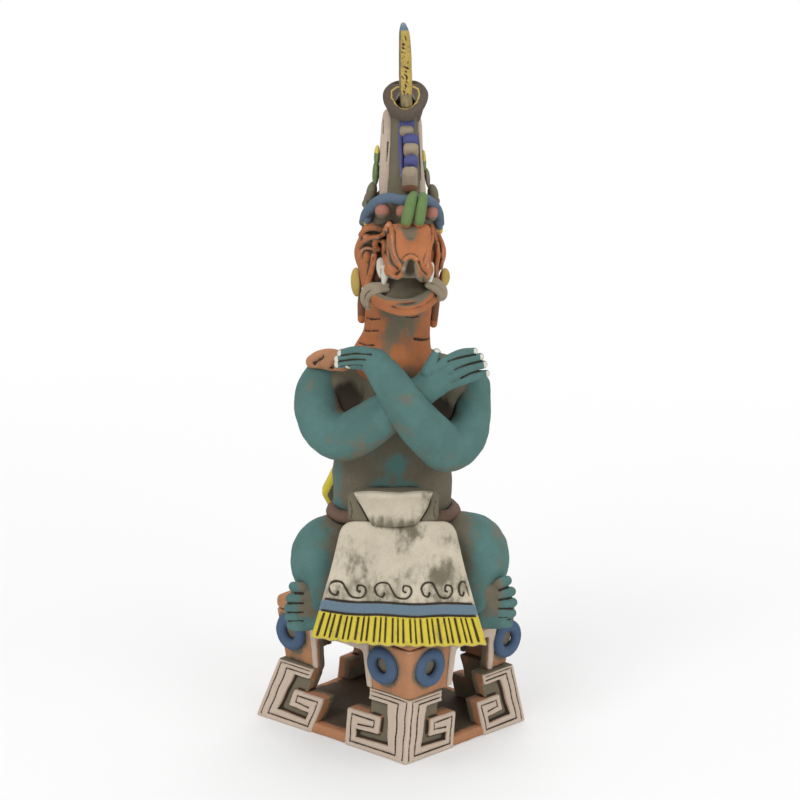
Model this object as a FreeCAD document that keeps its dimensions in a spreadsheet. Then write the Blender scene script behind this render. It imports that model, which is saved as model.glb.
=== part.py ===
import FreeCAD, Part
import math
import os

import Sketcher

# Ceramic rain god figurine: hand-built clay pieces luted together and fired.
# Millimetres. The origin is the middle of the resting face, +Z is up and the
# figure faces -Y. Left and right are as seen from the front.

doc = FreeCAD.newDocument("rain_god_figurine")
sheet = doc.addObject("Spreadsheet::Sheet", "Sizes")

SIZES = {
    # openwork base, measured in its own frame, which is turned under the figure
    "base_turn": 46.4,
    "base_width": 86.3,
    "base_length": 102.2,
    "floor_thick": 5.0,
    "fret_height": 31.0,
    "fret_lean": 6.3,
    "wall_thick": 9.0,
    "fret_recess": 2.5,
    "fret_front_long": 41.0,
    "fret_front_short": 34.0,
    "fret_side_long": 38.0,
    "fret_side_short": 30.0,
    "upper_shift_across": 1.8,
    "upper_shift_along": -1.9,
    "post_height": 26.0,
    "post_lean": 2.8,
    "window_long": 35.0,
    "window_short": 27.0,
    "window_border": 3.5,
    "window_head": 7.0,
    "window_short_offset": 9.0,
    "seat_thick": 8.0,
    "seat_round": 5.0,
    "stud_radius": 7.4,
    "stud_coil": 3.0,
    "stud_height": 45.0,
    "overrun": 6.0,
    # torso and what it carries
    "torso_across": 1.0,
    "torso_height": 133.0,
    "torso_half_width": 30.0,
    "torso_half_depth": 19.0,
    "shoulder_half_span": 37.0,
    "shoulder_drop": 8.0,
    "arm_reach": 40.0,
    "arm_drop": 45.0,
    "arm_forward": 45.0,
    "arm_radius": 10.0,
    "hand_length": 28.0,
    "hand_spread": 14.0,
    "finger_radius": 3.0,
    "knee_span": 35.0,
    "knee_forward": 14.0,
    "leg_half_width": 17.5,
    "leg_half_depth": 24.0,
    "leg_half_height": 28.0,
    "leg_sink": 6.0,
    "foot_half_length": 15.0,
    "foot_half_depth": 8.0,
    "foot_half_height": 12.0,
    "foot_overhang": 7.0,
    "toe_radius": 2.6,
    "belt_height": 49.0,
    "belt_coil": 3.4,
    "apron_height": 58.0,
    "apron_top_width": 54.0,
    "apron_bottom_width": 84.0,
    "apron_thick": 5.0,
    "apron_lean": 27.0,
    "apron_across": 4.5,
    "apron_forward": 33.0,
    "flap_top_width": 39.0,
    "flap_bottom_width": 22.0,
    "flap_height": 15.0,
    "flap_thick": 6.0,
    "pouch_half_width": 35.5,
    "pouch_half_height": 14.0,
    "pouch_thick": 10.0,
    "pad_half_width": 9.0,
    "pad_half_depth": 9.0,
    "pad_half_height": 5.0,
    # neck, head and face
    "neck_across": 4.0,
    "neck_sink": 12.0,
    "neck_height": 42.0,
    "neck_half_width": 18.0,
    "neck_half_depth": 16.5,
    "head_across": 6.0,
    "head_forward": 6.0,
    "head_height": 63.0,
    "head_half_width": 23.0,
    "head_half_depth": 25.0,
    "snout_radius": 12.5,
    "jaw_half_width": 17.0,
    "jaw_half_depth": 20.0,
    "jaw_half_height": 9.5,
    "jaw_lip": 3.5,
    "tooth_radius": 2.6,
    "whisker_radius": 2.2,
    "ear_disc_radius": 8.0,
    "ear_disc_thick": 9.0,
    "pendant_radius": 2.1,
    "pendant_length": 17.0,
    "band_radius": 2.5,
    "bead_radius": 3.6,
    "loop_radius": 2.6,
    # crest and finial
    "crest_height": 50.0,
    "crest_half_width": 12.0,
    "crest_half_depth": 10.0,
    "leaf_thick": 7.0,
    "leaf_lean": 2.0,
    "scale_half_width": 4.2,
    "scale_half_depth": 4.5,
    "scale_half_height": 4.8,
    "feather_half_width": 2.6,
    "feather_half_depth": 5.0,
    "feather_half_height": 7.2,
    "cup_radius": 10.8,
    "cup_wall": 3.6,
    "cup_depth": 11.0,
    "cup_foot_radius": 7.0,
    "cup_tilt": 35.0,
    "plume_height": 36.0,
    "plume_thick": 6.4,
    "blade_round": 2.2,
    "plume_half_depth": 6.5,
}

for row, (alias, number) in enumerate(SIZES.items(), start=1):
    sheet.set(f"A{row}", alias)
    sheet.set(f"B{row}", str(number))
    sheet.setAlias(f"B{row}", alias)
doc.recompute()

HALF_WIDTH = "Sizes.base_width / 2"
HALF_LENGTH = "Sizes.base_length / 2"
SEAT_TOP = "Sizes.fret_height + Sizes.post_height + Sizes.seat_thick"
TORSO_TOP = f"{SEAT_TOP} + Sizes.torso_height"
NECK_FOOT = f"{TORSO_TOP} - Sizes.neck_sink"
HEAD_FOOT = f"{NECK_FOOT} + Sizes.neck_height - Sizes.jaw_lip * 2"
HEAD_TOP = f"{HEAD_FOOT} + Sizes.head_height"
CREST_FOOT = f"{HEAD_TOP} - Sizes.crest_half_width"

# Each corner of the base: which way it lies across and along the base's own frame
CORNERS = {"front": (-1, -1), "left": (-1, 1), "right": (1, -1), "back": (1, 1)}

# Fret cut into each face, as shares of the fret's own width from its corner and height
STEP_SHARES = [(0.77, 0.58), (1.3, 0.58), (1.3, 1.2), (0.77, 1.2)]
RECESS_SHARES = [
    (1.0, 0.8), (0.39, 0.8), (0.33, 0.17), (0.84, 0.15),
    (0.84, 0.28), (0.47, 0.31), (0.47, 0.58), (1.0, 0.58),
]
# Distance of each ring stud from its corner, as shares of the stud's radius
STUD_SHARES = {"front": (2.33, 2.33), "left": (1.45, 1.77), "right": (1.77, 0.8), "back": (1.77, 1.77)}

# Sections of upright pieces: across, depth and rise of the centre, half width and half depth
TORSO_SHARES = [
    (0, 0.25, 0, 1.15, 1.45), (0, 0.25, 0.2, 1.15, 1.45), (0, 0.1, 0.33, 1.03, 1.2),
    (0, 0, 0.45, 0.97, 1.0), (0.03, 0, 0.64, 0.98, 0.97), (0.07, 0, 0.82, 1.07, 0.97),
    (0.1, 0, 0.93, 1.1, 0.92), (0.1, 0, 1.0, 0.75, 0.7),
]
NECK_SHARES = [
    (0.05, 0, 0, 1.15, 1.1), (0, 0, 0.4, 1.0, 1.0), (0, 0, 0.75, 0.95, 1.0), (0.1, 0, 1.0, 1.0, 1.05),
]
HEAD_SHARES = [
    (0, 0, 0, 0.62, 0.66), (0, 0, 0.12, 0.82, 0.86), (0, 0, 0.38, 1.0, 1.0),
    (0, 0, 0.6, 0.98, 1.0), (0, 0, 0.78, 0.86, 0.9), (0, 0, 0.92, 0.66, 0.7), (0, 0, 1.0, 0.35, 0.4),
]
CREST_CORE_SHARES = [
    (0, -0.5, 0, 0.85, 1.1), (0, -0.3, 0.4, 0.75, 0.85), (0, -0.1, 0.8, 0.68, 0.65), (0, 0, 1.0, 0.6, 0.6),
]

# Side outlines of the crest's leaves and the plume, as shares of half depth and height
LEAF_OUTLINE_SHARES = [(-0.9, 0), (0.9, 0), (0.9, 0.5), (0.55, 0.85), (-0.55, 0.85), (-0.9, 0.5)]
PLUME_OUTLINE_SHARES = [
    (-0.7, 0), (0.7, 0), (1, 0.3), (0.9, 0.75), (0.3, 1), (-0.3, 1), (-0.9, 0.75), (-1, 0.3),
]

# Stations of limbs and coils: across, forward and rise of the centre, and the radius
ARM_LEFT_SHARES = [
    (0, 0, 0, 0.95), (-0.04, 0.05, -0.31, 1.0), (0.03, 0.2, -0.67, 1.15), (0.23, 0.4, -0.84, 1.2),
    (0.53, 0.58, -0.73, 1.1), (0.85, 0.67, -0.56, 1.0), (1.2, 0.73, -0.36, 0.85), (1.4, 0.75, -0.22, 0.7),
]
ARM_RIGHT_SHARES = [
    (0, 0, 0, 0.95), (-0.05, 0.04, -0.31, 1.0), (-0.03, 0.15, -0.6, 1.05), (0.12, 0.33, -0.84, 1.08),
    (0.4, 0.55, -0.91, 1.08), (0.7, 0.8, -0.71, 1.0), (1.0, 0.93, -0.31, 0.92), (1.3, 0.95, 0.0, 0.72),
]
FINGER_RISE_SHARES = [0.45, 0.12, -0.22, -0.55]
FINGER_REACH_SHARES = [0.8, 0.95, 1.0, 0.95]
TOE_RISE_SHARES = [0.75, 0.4, 0.03, -0.34, -0.7]
SNOUT_SHARES = [
    (0.15, 0.55, 0.66, 0.85), (0.2, 1.2, 0.62, 1.05), (0.2, 1.6, 0.5, 1.0), (0.18, 1.85, 0.42, 0.65),
]
WHISKER_SHARES = [
    (0.3, 1.2, 0.3, 0.8), (0.75, 1.3, 0.23, 1.0), (0.95, 1.25, 0.13, 1.0), (0.88, 1.2, 0.05, 0.8),
]
BAND_SHARES = [
    (-1.02, 0.1, 0.62, 0.8), (-0.85, 0.4, 0.77, 1.0), (-0.45, 0.75, 0.88, 1.0), (0, 0.85, 0.92, 1.0),
    (0.45, 0.75, 0.89, 1.0), (0.8, 0.4, 0.78, 1.0), (0.95, 0.1, 0.6, 0.8),
]
BEAD_SHARES = {"left": (-0.47, 0.88, 0.79), "middle": (-0.04, 0.98, 0.79), "right": (0.58, 0.8, 0.78)}
LOOP_SHARES = [
    (0.25, 0.8, 0.98, 0.7), (0.25, 1.15, 0.96, 1.0), (0.18, 1.35, 0.84, 1.0), (0.1, 1.25, 0.7, 0.9),
]
SCALE_SHARES = {
    "blue": [(0, 0.75, 0.93), (0.15, 0.95, 0.74), (0.25, 1.25, 0.53)],
    "grey": [(0.05, 0.8, 0.84), (0.2, 1.1, 0.64), (0.15, 1.5, 0.34)],
}
FEATHER_SHARES = {
    "left": [(-1.1, 0.1, 0.62), (-1.25, 0.2, 0.43), (-1.42, 0.32, 0.22)],
    "right": [(0.95, 0.1, 0.6), (1.1, 0.2, 0.42), (1.25, 0.3, 0.22)],
}

# Points that each smooth oval section goes through
OVAL_POINTS = 8

handed_in = []


def measure(expression):
    """Number of millimetres or degrees that an expression of the sheet gives."""
    found = sheet.evalExpression(str(expression))
    return float(getattr(found, "Value", found))


def point(x, y, z):
    return FreeCAD.Vector(measure(x), measure(y), measure(z))


def place(thing, x="0", y="0", z="0"):
    for axis, expression in zip("xyz", (x, y, z)):
        thing.setExpression(f"Placement.Base.{axis}", expression)
    return thing


def turn(thing, axis, angle):
    thing.Placement.Rotation = FreeCAD.Rotation(axis, measure(angle))
    thing.setExpression("Placement.Rotation.Angle", angle)
    return thing


def hand_in(thing, label):
    thing.Label = label
    handed_in.append(thing)
    return thing


def joined(name, things):
    fused = doc.addObject("Part::MultiFuse", name)
    fused.Shapes = things
    return fused


def common(name, first, second):
    shared = doc.addObject("Part::Common", name)
    shared.Base = first
    shared.Tool = second
    return shared


def cut_by(name, blank, *neighbours):
    """Cut a clay blank by the pieces that it is pressed against."""
    piece = blank
    for number, neighbour in enumerate(neighbours, start=1):
        cut = doc.addObject("Part::Cut", f"{name}_{number}")
        cut.Base = piece
        cut.Tool = neighbour
        piece = cut
    return piece


def luted(label, blank, *neighbours):
    return hand_in(cut_by(f"{label}_seat", blank, *neighbours), label)


def box(name, x_low, x_high, y_low, y_high, z_low, z_high):
    block = doc.addObject("Part::Box", name)
    block.setExpression("Length", f"({x_high}) - ({x_low})")
    block.setExpression("Width", f"({y_high}) - ({y_low})")
    block.setExpression("Height", f"({z_high}) - ({z_low})")
    return place(block, x_low, y_low, z_low)


def ellipsoid(name, half_x, half_y, half_z, x, y, z):
    blob = doc.addObject("Part::Ellipsoid", name)
    blob.setExpression("Radius1", half_z)
    blob.setExpression("Radius2", half_x)
    blob.setExpression("Radius3", half_y)
    return place(blob, x, y, z)


def section(centre, normal, half_x, half_y, reference):
    """Closed smooth oval about centre, through a few points of an ellipse."""
    across = reference.cross(normal).normalize()
    along = normal.cross(across).normalize()
    points = []
    for number in range(OVAL_POINTS):
        angle = math.tau * number / OVAL_POINTS
        points.append(centre + across * (half_x * math.cos(angle)) + along * (half_y * math.sin(angle)))
    curve = Part.BSplineCurve()
    curve.interpolate(Points=points, PeriodicFlag=True)
    return Part.Wire([curve.toShape()])


def upright(name, foot, half_width, half_depth, height, shares, mirror=1):
    """Loft through level ovals given as shares of the piece's half sizes and height."""
    wires = []
    for across, back, rise, wide, deep in shares:
        centre = foot + FreeCAD.Vector(across * half_width, back * half_depth, rise * height)
        wires.append(section(centre, FreeCAD.Vector(0, 0, 1), wide * half_width, deep * half_depth,
                             FreeCAD.Vector(0, 1, 0)))
    return smooth_loft(name, wires, foot, mirror)


def smooth_loft(name, wires, start, mirror):
    """Loft through the wires; a piece of the other side is mirrored as a whole."""
    form = Part.makeLoft(wires, True, False)
    if mirror < 0:
        form = form.mirror(start, FreeCAD.Vector(1, 0, 0))
    feature = doc.addObject("Part::Feature", name)
    feature.Shape = form
    return feature


def coil(name, start, spans, radius, shares, mirror=1, reference=FreeCAD.Vector(0, 1, 0), offset=0):
    """Tapered roll of clay through stations given as shares of its spans."""
    centres = []
    for across, forward, rise, _ in shares:
        step = FreeCAD.Vector(across * spans[0] + offset, -forward * spans[1], rise * spans[2])
        centres.append(start + step)
    wires = []
    for number, centre in enumerate(centres):
        before = centres[max(number - 1, 0)]
        after = centres[min(number + 1, len(centres) - 1)]
        size = radius * shares[number][3]
        wires.append(section(centre, (after - before).normalize(), size, size, reference))
    return smooth_loft(name, wires, start, mirror)


def slab(name, role, corners, thickness, symmetric=False):
    """Body padded from a straight-sided outline; corners are pairs of expressions."""
    body = doc.addObject("PartDesign::Body", name)
    sketch = body.newObject("Sketcher::SketchObject", f"{name}_outline")
    plane = next(part for part in body.Origin.OriginFeatures if part.Role == role)
    sketch.AttachmentSupport = (plane, [""])
    sketch.MapMode = "FlatFace"
    places = [FreeCAD.Vector(measure(x), measure(y), 0) for x, y in corners]
    for number, start in enumerate(places):
        end = places[(number + 1) % len(places)]
        sketch.addGeometry(Part.LineSegment(start, end), False)
    for number in range(len(places)):
        after = (number + 1) % len(places)
        sketch.addConstraint(Sketcher.Constraint("Coincident", number, 2, after, 1))
    for number, pair in enumerate(corners):
        for kind, expression in zip(("DistanceX", "DistanceY"), pair):
            rule = Sketcher.Constraint(kind, -1, 1, number, 1, measure(expression))
            sketch.setExpression(f"Constraints[{sketch.addConstraint(rule)}]", expression)
    pad = body.newObject("PartDesign::Pad", f"{name}_pad")
    pad.Profile = sketch
    pad.setExpression("Length", thickness)
    pad.Midplane = symmetric
    body.Tip = pad
    return body


def rounded(body, radius, keep):
    """Fillet the edges of a slab whose direction the test keeps."""
    doc.recompute()
    base = body.Tip
    names = [f"Edge{n}" for n, edge in enumerate(base.Shape.Edges, start=1) if keep(edge)]
    fillet = body.newObject("PartDesign::Fillet", f"{body.Name}_round")
    fillet.Base = (base, names)
    fillet.setExpression("Radius", radius)
    body.Tip = fillet
    return body


def tapered_block(name, low, height, foot_inset, head_inset, foot_shift, head_shift):
    """Block whose sides lean, in the base's frame; a Wedge stands along its Y."""
    block = doc.addObject("Part::Wedge", name)
    block.Placement.Rotation = FreeCAD.Rotation(FreeCAD.Vector(1, 0, 0), 90)
    block.setExpression("Ymin", "0")
    block.setExpression("Ymax", height)
    for end, inset, shift in (("", foot_inset, foot_shift), ("2", head_inset, head_shift)):
        across, along = f"({HALF_WIDTH} - ({inset}))", f"({HALF_LENGTH} - ({inset}))"
        move_x, move_y = f"Sizes.upper_shift_across * {shift}", f"Sizes.upper_shift_along * {shift}"
        block.setExpression(f"X{end}min", f"{move_x} - {across}")
        block.setExpression(f"X{end}max", f"{move_x} + {across}")
        block.setExpression(f"Z{end}min", f"-{along} - {move_y}")
        block.setExpression(f"Z{end}max", f"{along} - {move_y}")
    return place(block, z=low)


def seated_in_base(thing, label):
    """Hand in a piece of the base, turned with the whole base under the figure."""
    turn(thing, FreeCAD.Vector(0, 0, 1), "Sizes.base_turn")
    return hand_in(thing, label)


def side_outline(name, sign_x, sign_y, long_side, width, shares):
    """Prism through one face of the base from an outline in shares of a fret."""
    fret_height = measure("Sizes.fret_height")
    reach_x = measure(f"{HALF_WIDTH} + Sizes.overrun")
    reach_y = measure(f"{HALF_LENGTH} + Sizes.overrun")
    corners = []
    for from_corner, rise in shares:
        if long_side:
            flat = (0, sign_y * (measure(HALF_LENGTH) - from_corner * width))
        else:
            flat = (sign_x * (measure(HALF_WIDTH) - from_corner * width), 0)
        corners.append(FreeCAD.Vector(*flat, rise * fret_height))
    face = Part.Face(Part.makePolygon(corners + corners[:1]))
    way = FreeCAD.Vector(sign_x * reach_x, 0, 0) if long_side else FreeCAD.Vector(0, sign_y * reach_y, 0)
    prism = doc.addObject("Part::Feature", name)
    prism.Shape = face.extrude(way)
    return prism


def fret_widths(corner):
    kind = "front" if corner == "front" else "side"
    return f"Sizes.fret_{kind}_long", f"Sizes.fret_{kind}_short"


def build_base_foot():
    """Floor slab and the four folded corner frets that the figure stands on."""
    lean, wall = "Sizes.fret_lean", "Sizes.wall_thick"
    height = "Sizes.fret_height"
    outer = tapered_block("foot_outer", "0", height, "0", lean, 0, 1)
    inner = tapered_block("foot_inner", "0", height, wall, f"{lean} + {wall}", 0, 1)
    skin = tapered_block("foot_skin", "0", height, "Sizes.fret_recess", f"{lean} + Sizes.fret_recess", 0, 1)
    shell = cut_by("foot_shell", outer, inner)
    rind = cut_by("foot_rind", outer, skin)
    steps, recesses, corners = [], [], {}
    for corner, (sign_x, sign_y) in CORNERS.items():
        long_width, short_width = fret_widths(corner)
        for long_side, width in ((True, long_width), (False, short_width)):
            side = "long" if long_side else "short"
            place_of_side = (sign_x, sign_y, long_side, measure(width))
            steps.append(side_outline(f"step_{corner}_{side}", *place_of_side, STEP_SHARES))
            recesses.append(side_outline(f"recess_{corner}_{side}", *place_of_side, RECESS_SHARES))
        limits = corner_limits(sign_x, sign_y, f"{HALF_WIDTH} - {short_width}",
                               f"{HALF_LENGTH} - {long_width}")
        region = box(f"foot_region_{corner}", *limits, "0", height)
        corners[corner] = common(f"foot_corner_{corner}", shell, region)
    step = joined("fret_steps", steps)
    recess = common("fret_recesses", joined("fret_outlines", recesses), rind)
    for corner, blank in corners.items():
        seated_in_base(cut_by(f"fret_{corner}", blank, step, recess), f"fret_corner_{corner}")
    plate = box("floor_plate", f"-{HALF_WIDTH}", HALF_WIDTH, f"-{HALF_LENGTH}", HALF_LENGTH,
                "0", "Sizes.floor_thick")
    foot_corners = joined("foot_corners", list(corners.values()))
    floor = cut_by("floor", common("floor_blank", outer, plate), foot_corners)
    seated_in_base(floor, "base_floor")


def corner_limits(sign_x, sign_y, inner_x, inner_y):
    """Extents across and along of the region outside two lines at one corner."""
    reach_x, reach_y = f"({HALF_WIDTH} + Sizes.overrun)", f"({HALF_LENGTH} + Sizes.overrun)"
    across = (f"-{reach_x}", f"-({inner_x})") if sign_x < 0 else (inner_x, reach_x)
    along = (f"-{reach_y}", f"-({inner_y})") if sign_y < 0 else (inner_y, reach_y)
    return (*across, *along)


def build_base_walls():
    """Four corner posts and the window frames between them, under the seat."""
    low, height = "Sizes.fret_height", "Sizes.post_height"
    top = f"{low} + {height}"
    lean, wall = "Sizes.fret_lean", "Sizes.wall_thick"
    head_inset = f"{lean} - Sizes.post_lean"
    outer = tapered_block("wall_outer", low, height, lean, head_inset, 1, 1)
    inner = tapered_block("wall_inner", low, height, f"{lean} + {wall}", f"{head_inset} + {wall}", 1, 1)
    shell = cut_by("wall_shell", outer, inner)
    border, offset = "Sizes.window_border", "Sizes.window_short_offset"
    half_long, half_short = "Sizes.window_long / 2", "Sizes.window_short / 2"
    for corner, (sign_x, sign_y) in CORNERS.items():
        limits = corner_limits(sign_x, sign_y, f"{half_short} + {border} + {sign_x} * {offset}",
                               f"{half_long} + {border}")
        region = box(f"post_region_{corner}", *limits, low, top)
        seated_in_base(common(f"post_{corner}", shell, region), f"corner_post_{corner}")
    reach_x, reach_y = f"({HALF_WIDTH} + Sizes.overrun)", f"({HALF_LENGTH} + Sizes.overrun)"
    sides = {
        "front_left": ((f"-{reach_x}", "0"), None), "back_right": (("0", reach_x), None),
        "front_right": (None, (f"-{reach_y}", "0")), "back_left": (None, ("0", reach_y)),
    }
    for side, (across, along) in sides.items():
        centre, half = (offset, half_short) if across is None else ("0", half_long)
        outside = (f"{centre} - {half} - {border}", f"{centre} + {half} + {border}")
        inside = (f"{centre} - {half}", f"{centre} + {half}")
        region = box(f"frame_region_{side}", *(across or outside), *(along or outside), low, top)
        opening = box(f"opening_{side}", *(across or inside), *(along or inside), low,
                      f"{top} - Sizes.window_head")
        frame = cut_by(f"frame_{side}", common(f"frame_blank_{side}", shell, region), opening)
        seated_in_base(frame, f"window_frame_{side}")
    return shell


def build_studs(wall_shell):
    """Two ring studs pressed on to the outer faces of each corner post."""
    rise = "(Sizes.stud_height - Sizes.fret_height) / Sizes.post_height"
    inset = f"Sizes.fret_lean - Sizes.post_lean * {rise}"
    for corner, (sign_x, sign_y) in CORNERS.items():
        rings = []
        for long_side, share in zip((True, False), STUD_SHARES[corner]):
            ring = doc.addObject("Part::Torus", f"ring_{corner}_{'long' if long_side else 'short'}")
            ring.setExpression("Radius1", "Sizes.stud_radius")
            ring.setExpression("Radius2", "Sizes.stud_coil")
            axis = FreeCAD.Vector(0, 1, 0) if long_side else FreeCAD.Vector(1, 0, 0)
            ring.Placement.Rotation = FreeCAD.Rotation(axis, 90)
            in_x = f"{inset} - Sizes.stud_coil / 3" if long_side else f"{inset} + {share} * Sizes.stud_radius"
            in_y = f"{inset} + {share} * Sizes.stud_radius" if long_side else f"{inset} - Sizes.stud_coil / 3"
            place(ring, f"{sign_x} * ({HALF_WIDTH} - ({in_x})) + Sizes.upper_shift_across",
                  f"{sign_y} * ({HALF_LENGTH} - ({in_y})) + Sizes.upper_shift_along", "Sizes.stud_height")
            rings.append(ring)
        studs = cut_by(f"studs_{corner}", joined(f"stud_pair_{corner}", rings), wall_shell)
        seated_in_base(studs, f"ring_studs_{corner}")


def build_seat():
    """Slab with rounded corners on which the figure sits."""
    inset = "Sizes.fret_lean - Sizes.post_lean"
    across, along = f"({HALF_WIDTH} - ({inset}))", f"({HALF_LENGTH} - ({inset}))"
    shift_x, shift_y = "Sizes.upper_shift_across", "Sizes.upper_shift_along"
    corners = [(f"{shift_x} + {x} * {across}", f"{shift_y} + {y} * {along}")
               for x, y in ((-1, -1), (1, -1), (1, 1), (-1, 1))]
    seat = slab("seat", "XY_Plane", corners, "Sizes.seat_thick")
    rounded(seat, "Sizes.seat_round", lambda edge: abs(edge.tangentAt(edge.FirstParameter).z) > 0.9)
    place(seat, z="Sizes.fret_height + Sizes.post_height")
    return seated_in_base(seat, "seat_slab")


def build_torso():
    foot = point("Sizes.torso_across", "0", SEAT_TOP)
    torso = upright("torso_form", foot, measure("Sizes.torso_half_width"), measure("Sizes.torso_half_depth"),
                    measure("Sizes.torso_height"), TORSO_SHARES)
    return hand_in(torso, "torso")


def limb_frame():
    return (measure("Sizes.arm_reach"), measure("Sizes.arm_forward"), measure("Sizes.arm_drop"))


def shoulder(side):
    across = f"Sizes.torso_across * 2 + {side} * Sizes.shoulder_half_span"
    return point(across, "0", f"{TORSO_TOP} - Sizes.shoulder_drop")


def build_arms(torso):
    """Two rolls crossed on the chest; the right forearm lies over the left one."""
    spans, radius = limb_frame(), measure("Sizes.arm_radius")
    left = coil("arm_left_roll", shoulder(-1), spans, radius, ARM_LEFT_SHARES)
    right = coil("arm_right_roll", shoulder(1), spans, radius, ARM_RIGHT_SHARES, mirror=-1)
    arm_left = luted("arm_left", left, torso)
    arm_right = luted("arm_right", right, torso, arm_left)
    return arm_left, arm_right


def build_hand(label, side, shares, torso, arms):
    """Open hand laid on the opposite shoulder: a palm and four fingers."""
    spans, radius = limb_frame(), measure("Sizes.finger_radius")
    length, spread = measure("Sizes.hand_length"), measure("Sizes.hand_spread")
    across, forward, rise, _ = shares[-1]
    wrist = shoulder(side) + FreeCAD.Vector(-side * across * spans[0], -forward * spans[1], rise * spans[2])
    fingers = []
    for number, (lift, reach) in enumerate(zip(FINGER_RISE_SHARES, FINGER_REACH_SHARES)):
        finger_shares = [(-0.2, 0, lift * 0.5, 1.0), (0.3, 0, lift * 0.8, 1.2),
                         (0.8 * reach, -0.1, lift, 1.0), (reach, -0.15, lift, 0.6)]
        fingers.append(coil(f"{label}_finger_{number}", wrist, (length, spread, spread), radius,
                            finger_shares, mirror=-side))
    return luted(label, joined(f"{label}_fingers", fingers), torso, *arms)


def build_legs(torso, seat):
    """Bent legs, each one swelling form, and a paddle foot with five toes."""
    for side, sign in (("left", -1), ("right", 1)):
        roll = ellipsoid(f"leg_{side}_form", "Sizes.leg_half_width", "Sizes.leg_half_depth",
                         "Sizes.leg_half_height",
                         f"Sizes.torso_across * 4 + {sign} * Sizes.knee_span",
                         "-Sizes.knee_forward", f"{SEAT_TOP} + Sizes.leg_half_height - Sizes.leg_sink")
        leg = luted(f"leg_{side}", roll, torso, seat)
        centre_x = f"Sizes.torso_across * 4 + {sign} * (Sizes.knee_span + Sizes.foot_half_length / 2)"
        centre_y = "-Sizes.knee_forward - Sizes.leg_half_depth / 2"
        centre_z = f"{SEAT_TOP} + Sizes.foot_half_height - Sizes.foot_overhang"
        blobs = [ellipsoid(f"sole_{side}", "Sizes.foot_half_length", "Sizes.foot_half_depth",
                           "Sizes.foot_half_height", centre_x, centre_y, centre_z)]
        for number, rise in enumerate(TOE_RISE_SHARES):
            toe_x = f"{centre_x} + {sign} * Sizes.foot_half_length * {0.9 - 0.3 * rise * rise}"
            toe_z = f"{centre_z} + {rise} * Sizes.foot_half_height"
            blobs.append(ellipsoid(f"toe_{side}_{number}", "Sizes.toe_radius * 2", "Sizes.toe_radius",
                                   "Sizes.toe_radius", toe_x, centre_y, toe_z))
        luted(f"foot_{side}", joined(f"foot_{side}_form", blobs), leg, seat)


def build_belt(torso):
    """Coil of clay wound once round the waist."""
    ring = doc.addObject("Part::Torus", "belt_roll")
    ring.setExpression("Radius1", "Sizes.torso_half_width")
    ring.setExpression("Radius2", "Sizes.belt_coil")
    place(ring, "Sizes.torso_across", "Sizes.torso_half_depth * 0.1", f"{SEAT_TOP} + Sizes.belt_height")
    return ring, luted("belt_coil", ring, torso)


def build_apron(torso, belt):
    """Leaning apron over the knees, with the folded flap of the waistband on it."""
    height, across = "Sizes.apron_height", "Sizes.apron_across"
    top, bottom = "Sizes.apron_top_width / 2", "Sizes.apron_bottom_width / 2"
    apron = slab("apron_sheet", "XZ_Plane",
                 [(f"-{bottom}", f"-{height}"), (bottom, f"-{height}"), (top, "Sizes.apron_thick"),
                  (f"-{top}", "Sizes.apron_thick")], "Sizes.apron_thick")
    turn(apron, FreeCAD.Vector(1, 0, 0), "-Sizes.apron_lean")
    place(apron, across, "-Sizes.apron_forward", f"{SEAT_TOP} + Sizes.belt_height")
    sheet_piece = luted("apron", apron, torso, belt)
    top, bottom = "Sizes.flap_top_width / 2", "Sizes.flap_bottom_width / 2"
    low, high = "-Sizes.flap_height / 3", "Sizes.flap_height"
    flap = slab("flap_sheet", "XZ_Plane",
                [(f"-{bottom}", low), (bottom, low), (top, high), (f"-{top}", high)],
                "Sizes.apron_forward - Sizes.torso_half_depth * 0.9 + Sizes.flap_thick")
    place(flap, across, "-Sizes.torso_half_depth * 0.9", f"{SEAT_TOP} + Sizes.belt_height")
    luted("apron_flap", flap, torso, belt, sheet_piece)


POUCH_SIDE_SHARE = 0.78


def build_pouch(torso, belt_ring):
    """Six-sided bundle tied on over the belt at the small of the back."""
    half_width, half_height = "Sizes.pouch_half_width", "Sizes.pouch_half_height"
    side = f"{half_width} * {POUCH_SIDE_SHARE}"
    corners = [(f"-{half_width}", f"{half_height} / 8"), (f"-{side}", f"-{half_height}"),
               (side, f"-{half_height}"), (half_width, f"{half_height} / 8"),
               (side, half_height), (f"-{side}", half_height)]
    pouch = slab("pouch_form", "XZ_Plane", corners, "Sizes.pouch_thick")
    place(pouch, "Sizes.torso_across", "Sizes.torso_half_depth + Sizes.pouch_thick * 0.6",
          f"{SEAT_TOP} + Sizes.belt_height + Sizes.belt_coil")
    return luted("back_pouch", pouch, belt_ring, torso)


def build_shoulder_pad(torso, arms):
    across = "Sizes.torso_across * 2 - Sizes.shoulder_half_span + Sizes.pad_half_width / 3"
    pad = ellipsoid("pad_form", "Sizes.pad_half_width", "Sizes.pad_half_depth", "Sizes.pad_half_height",
                    across, "-Sizes.pad_half_depth",
                    f"{TORSO_TOP} - Sizes.shoulder_drop + Sizes.pad_half_height")
    return luted("shoulder_pad", pad, torso, arms[0])


def head_place(across, forward, rise):
    """Expressions of a place on the head, as shares of its half sizes and height."""
    return (f"Sizes.head_across + {across} * Sizes.head_half_width",
            f"-Sizes.head_forward - {forward} * Sizes.head_half_depth",
            f"{HEAD_FOOT} + {rise} * Sizes.head_height")


def head_frame():
    start = point(*head_place(0, 0, 0))
    spans = (measure("Sizes.head_half_width"), measure("Sizes.head_half_depth"), measure("Sizes.head_height"))
    return start, spans


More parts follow.
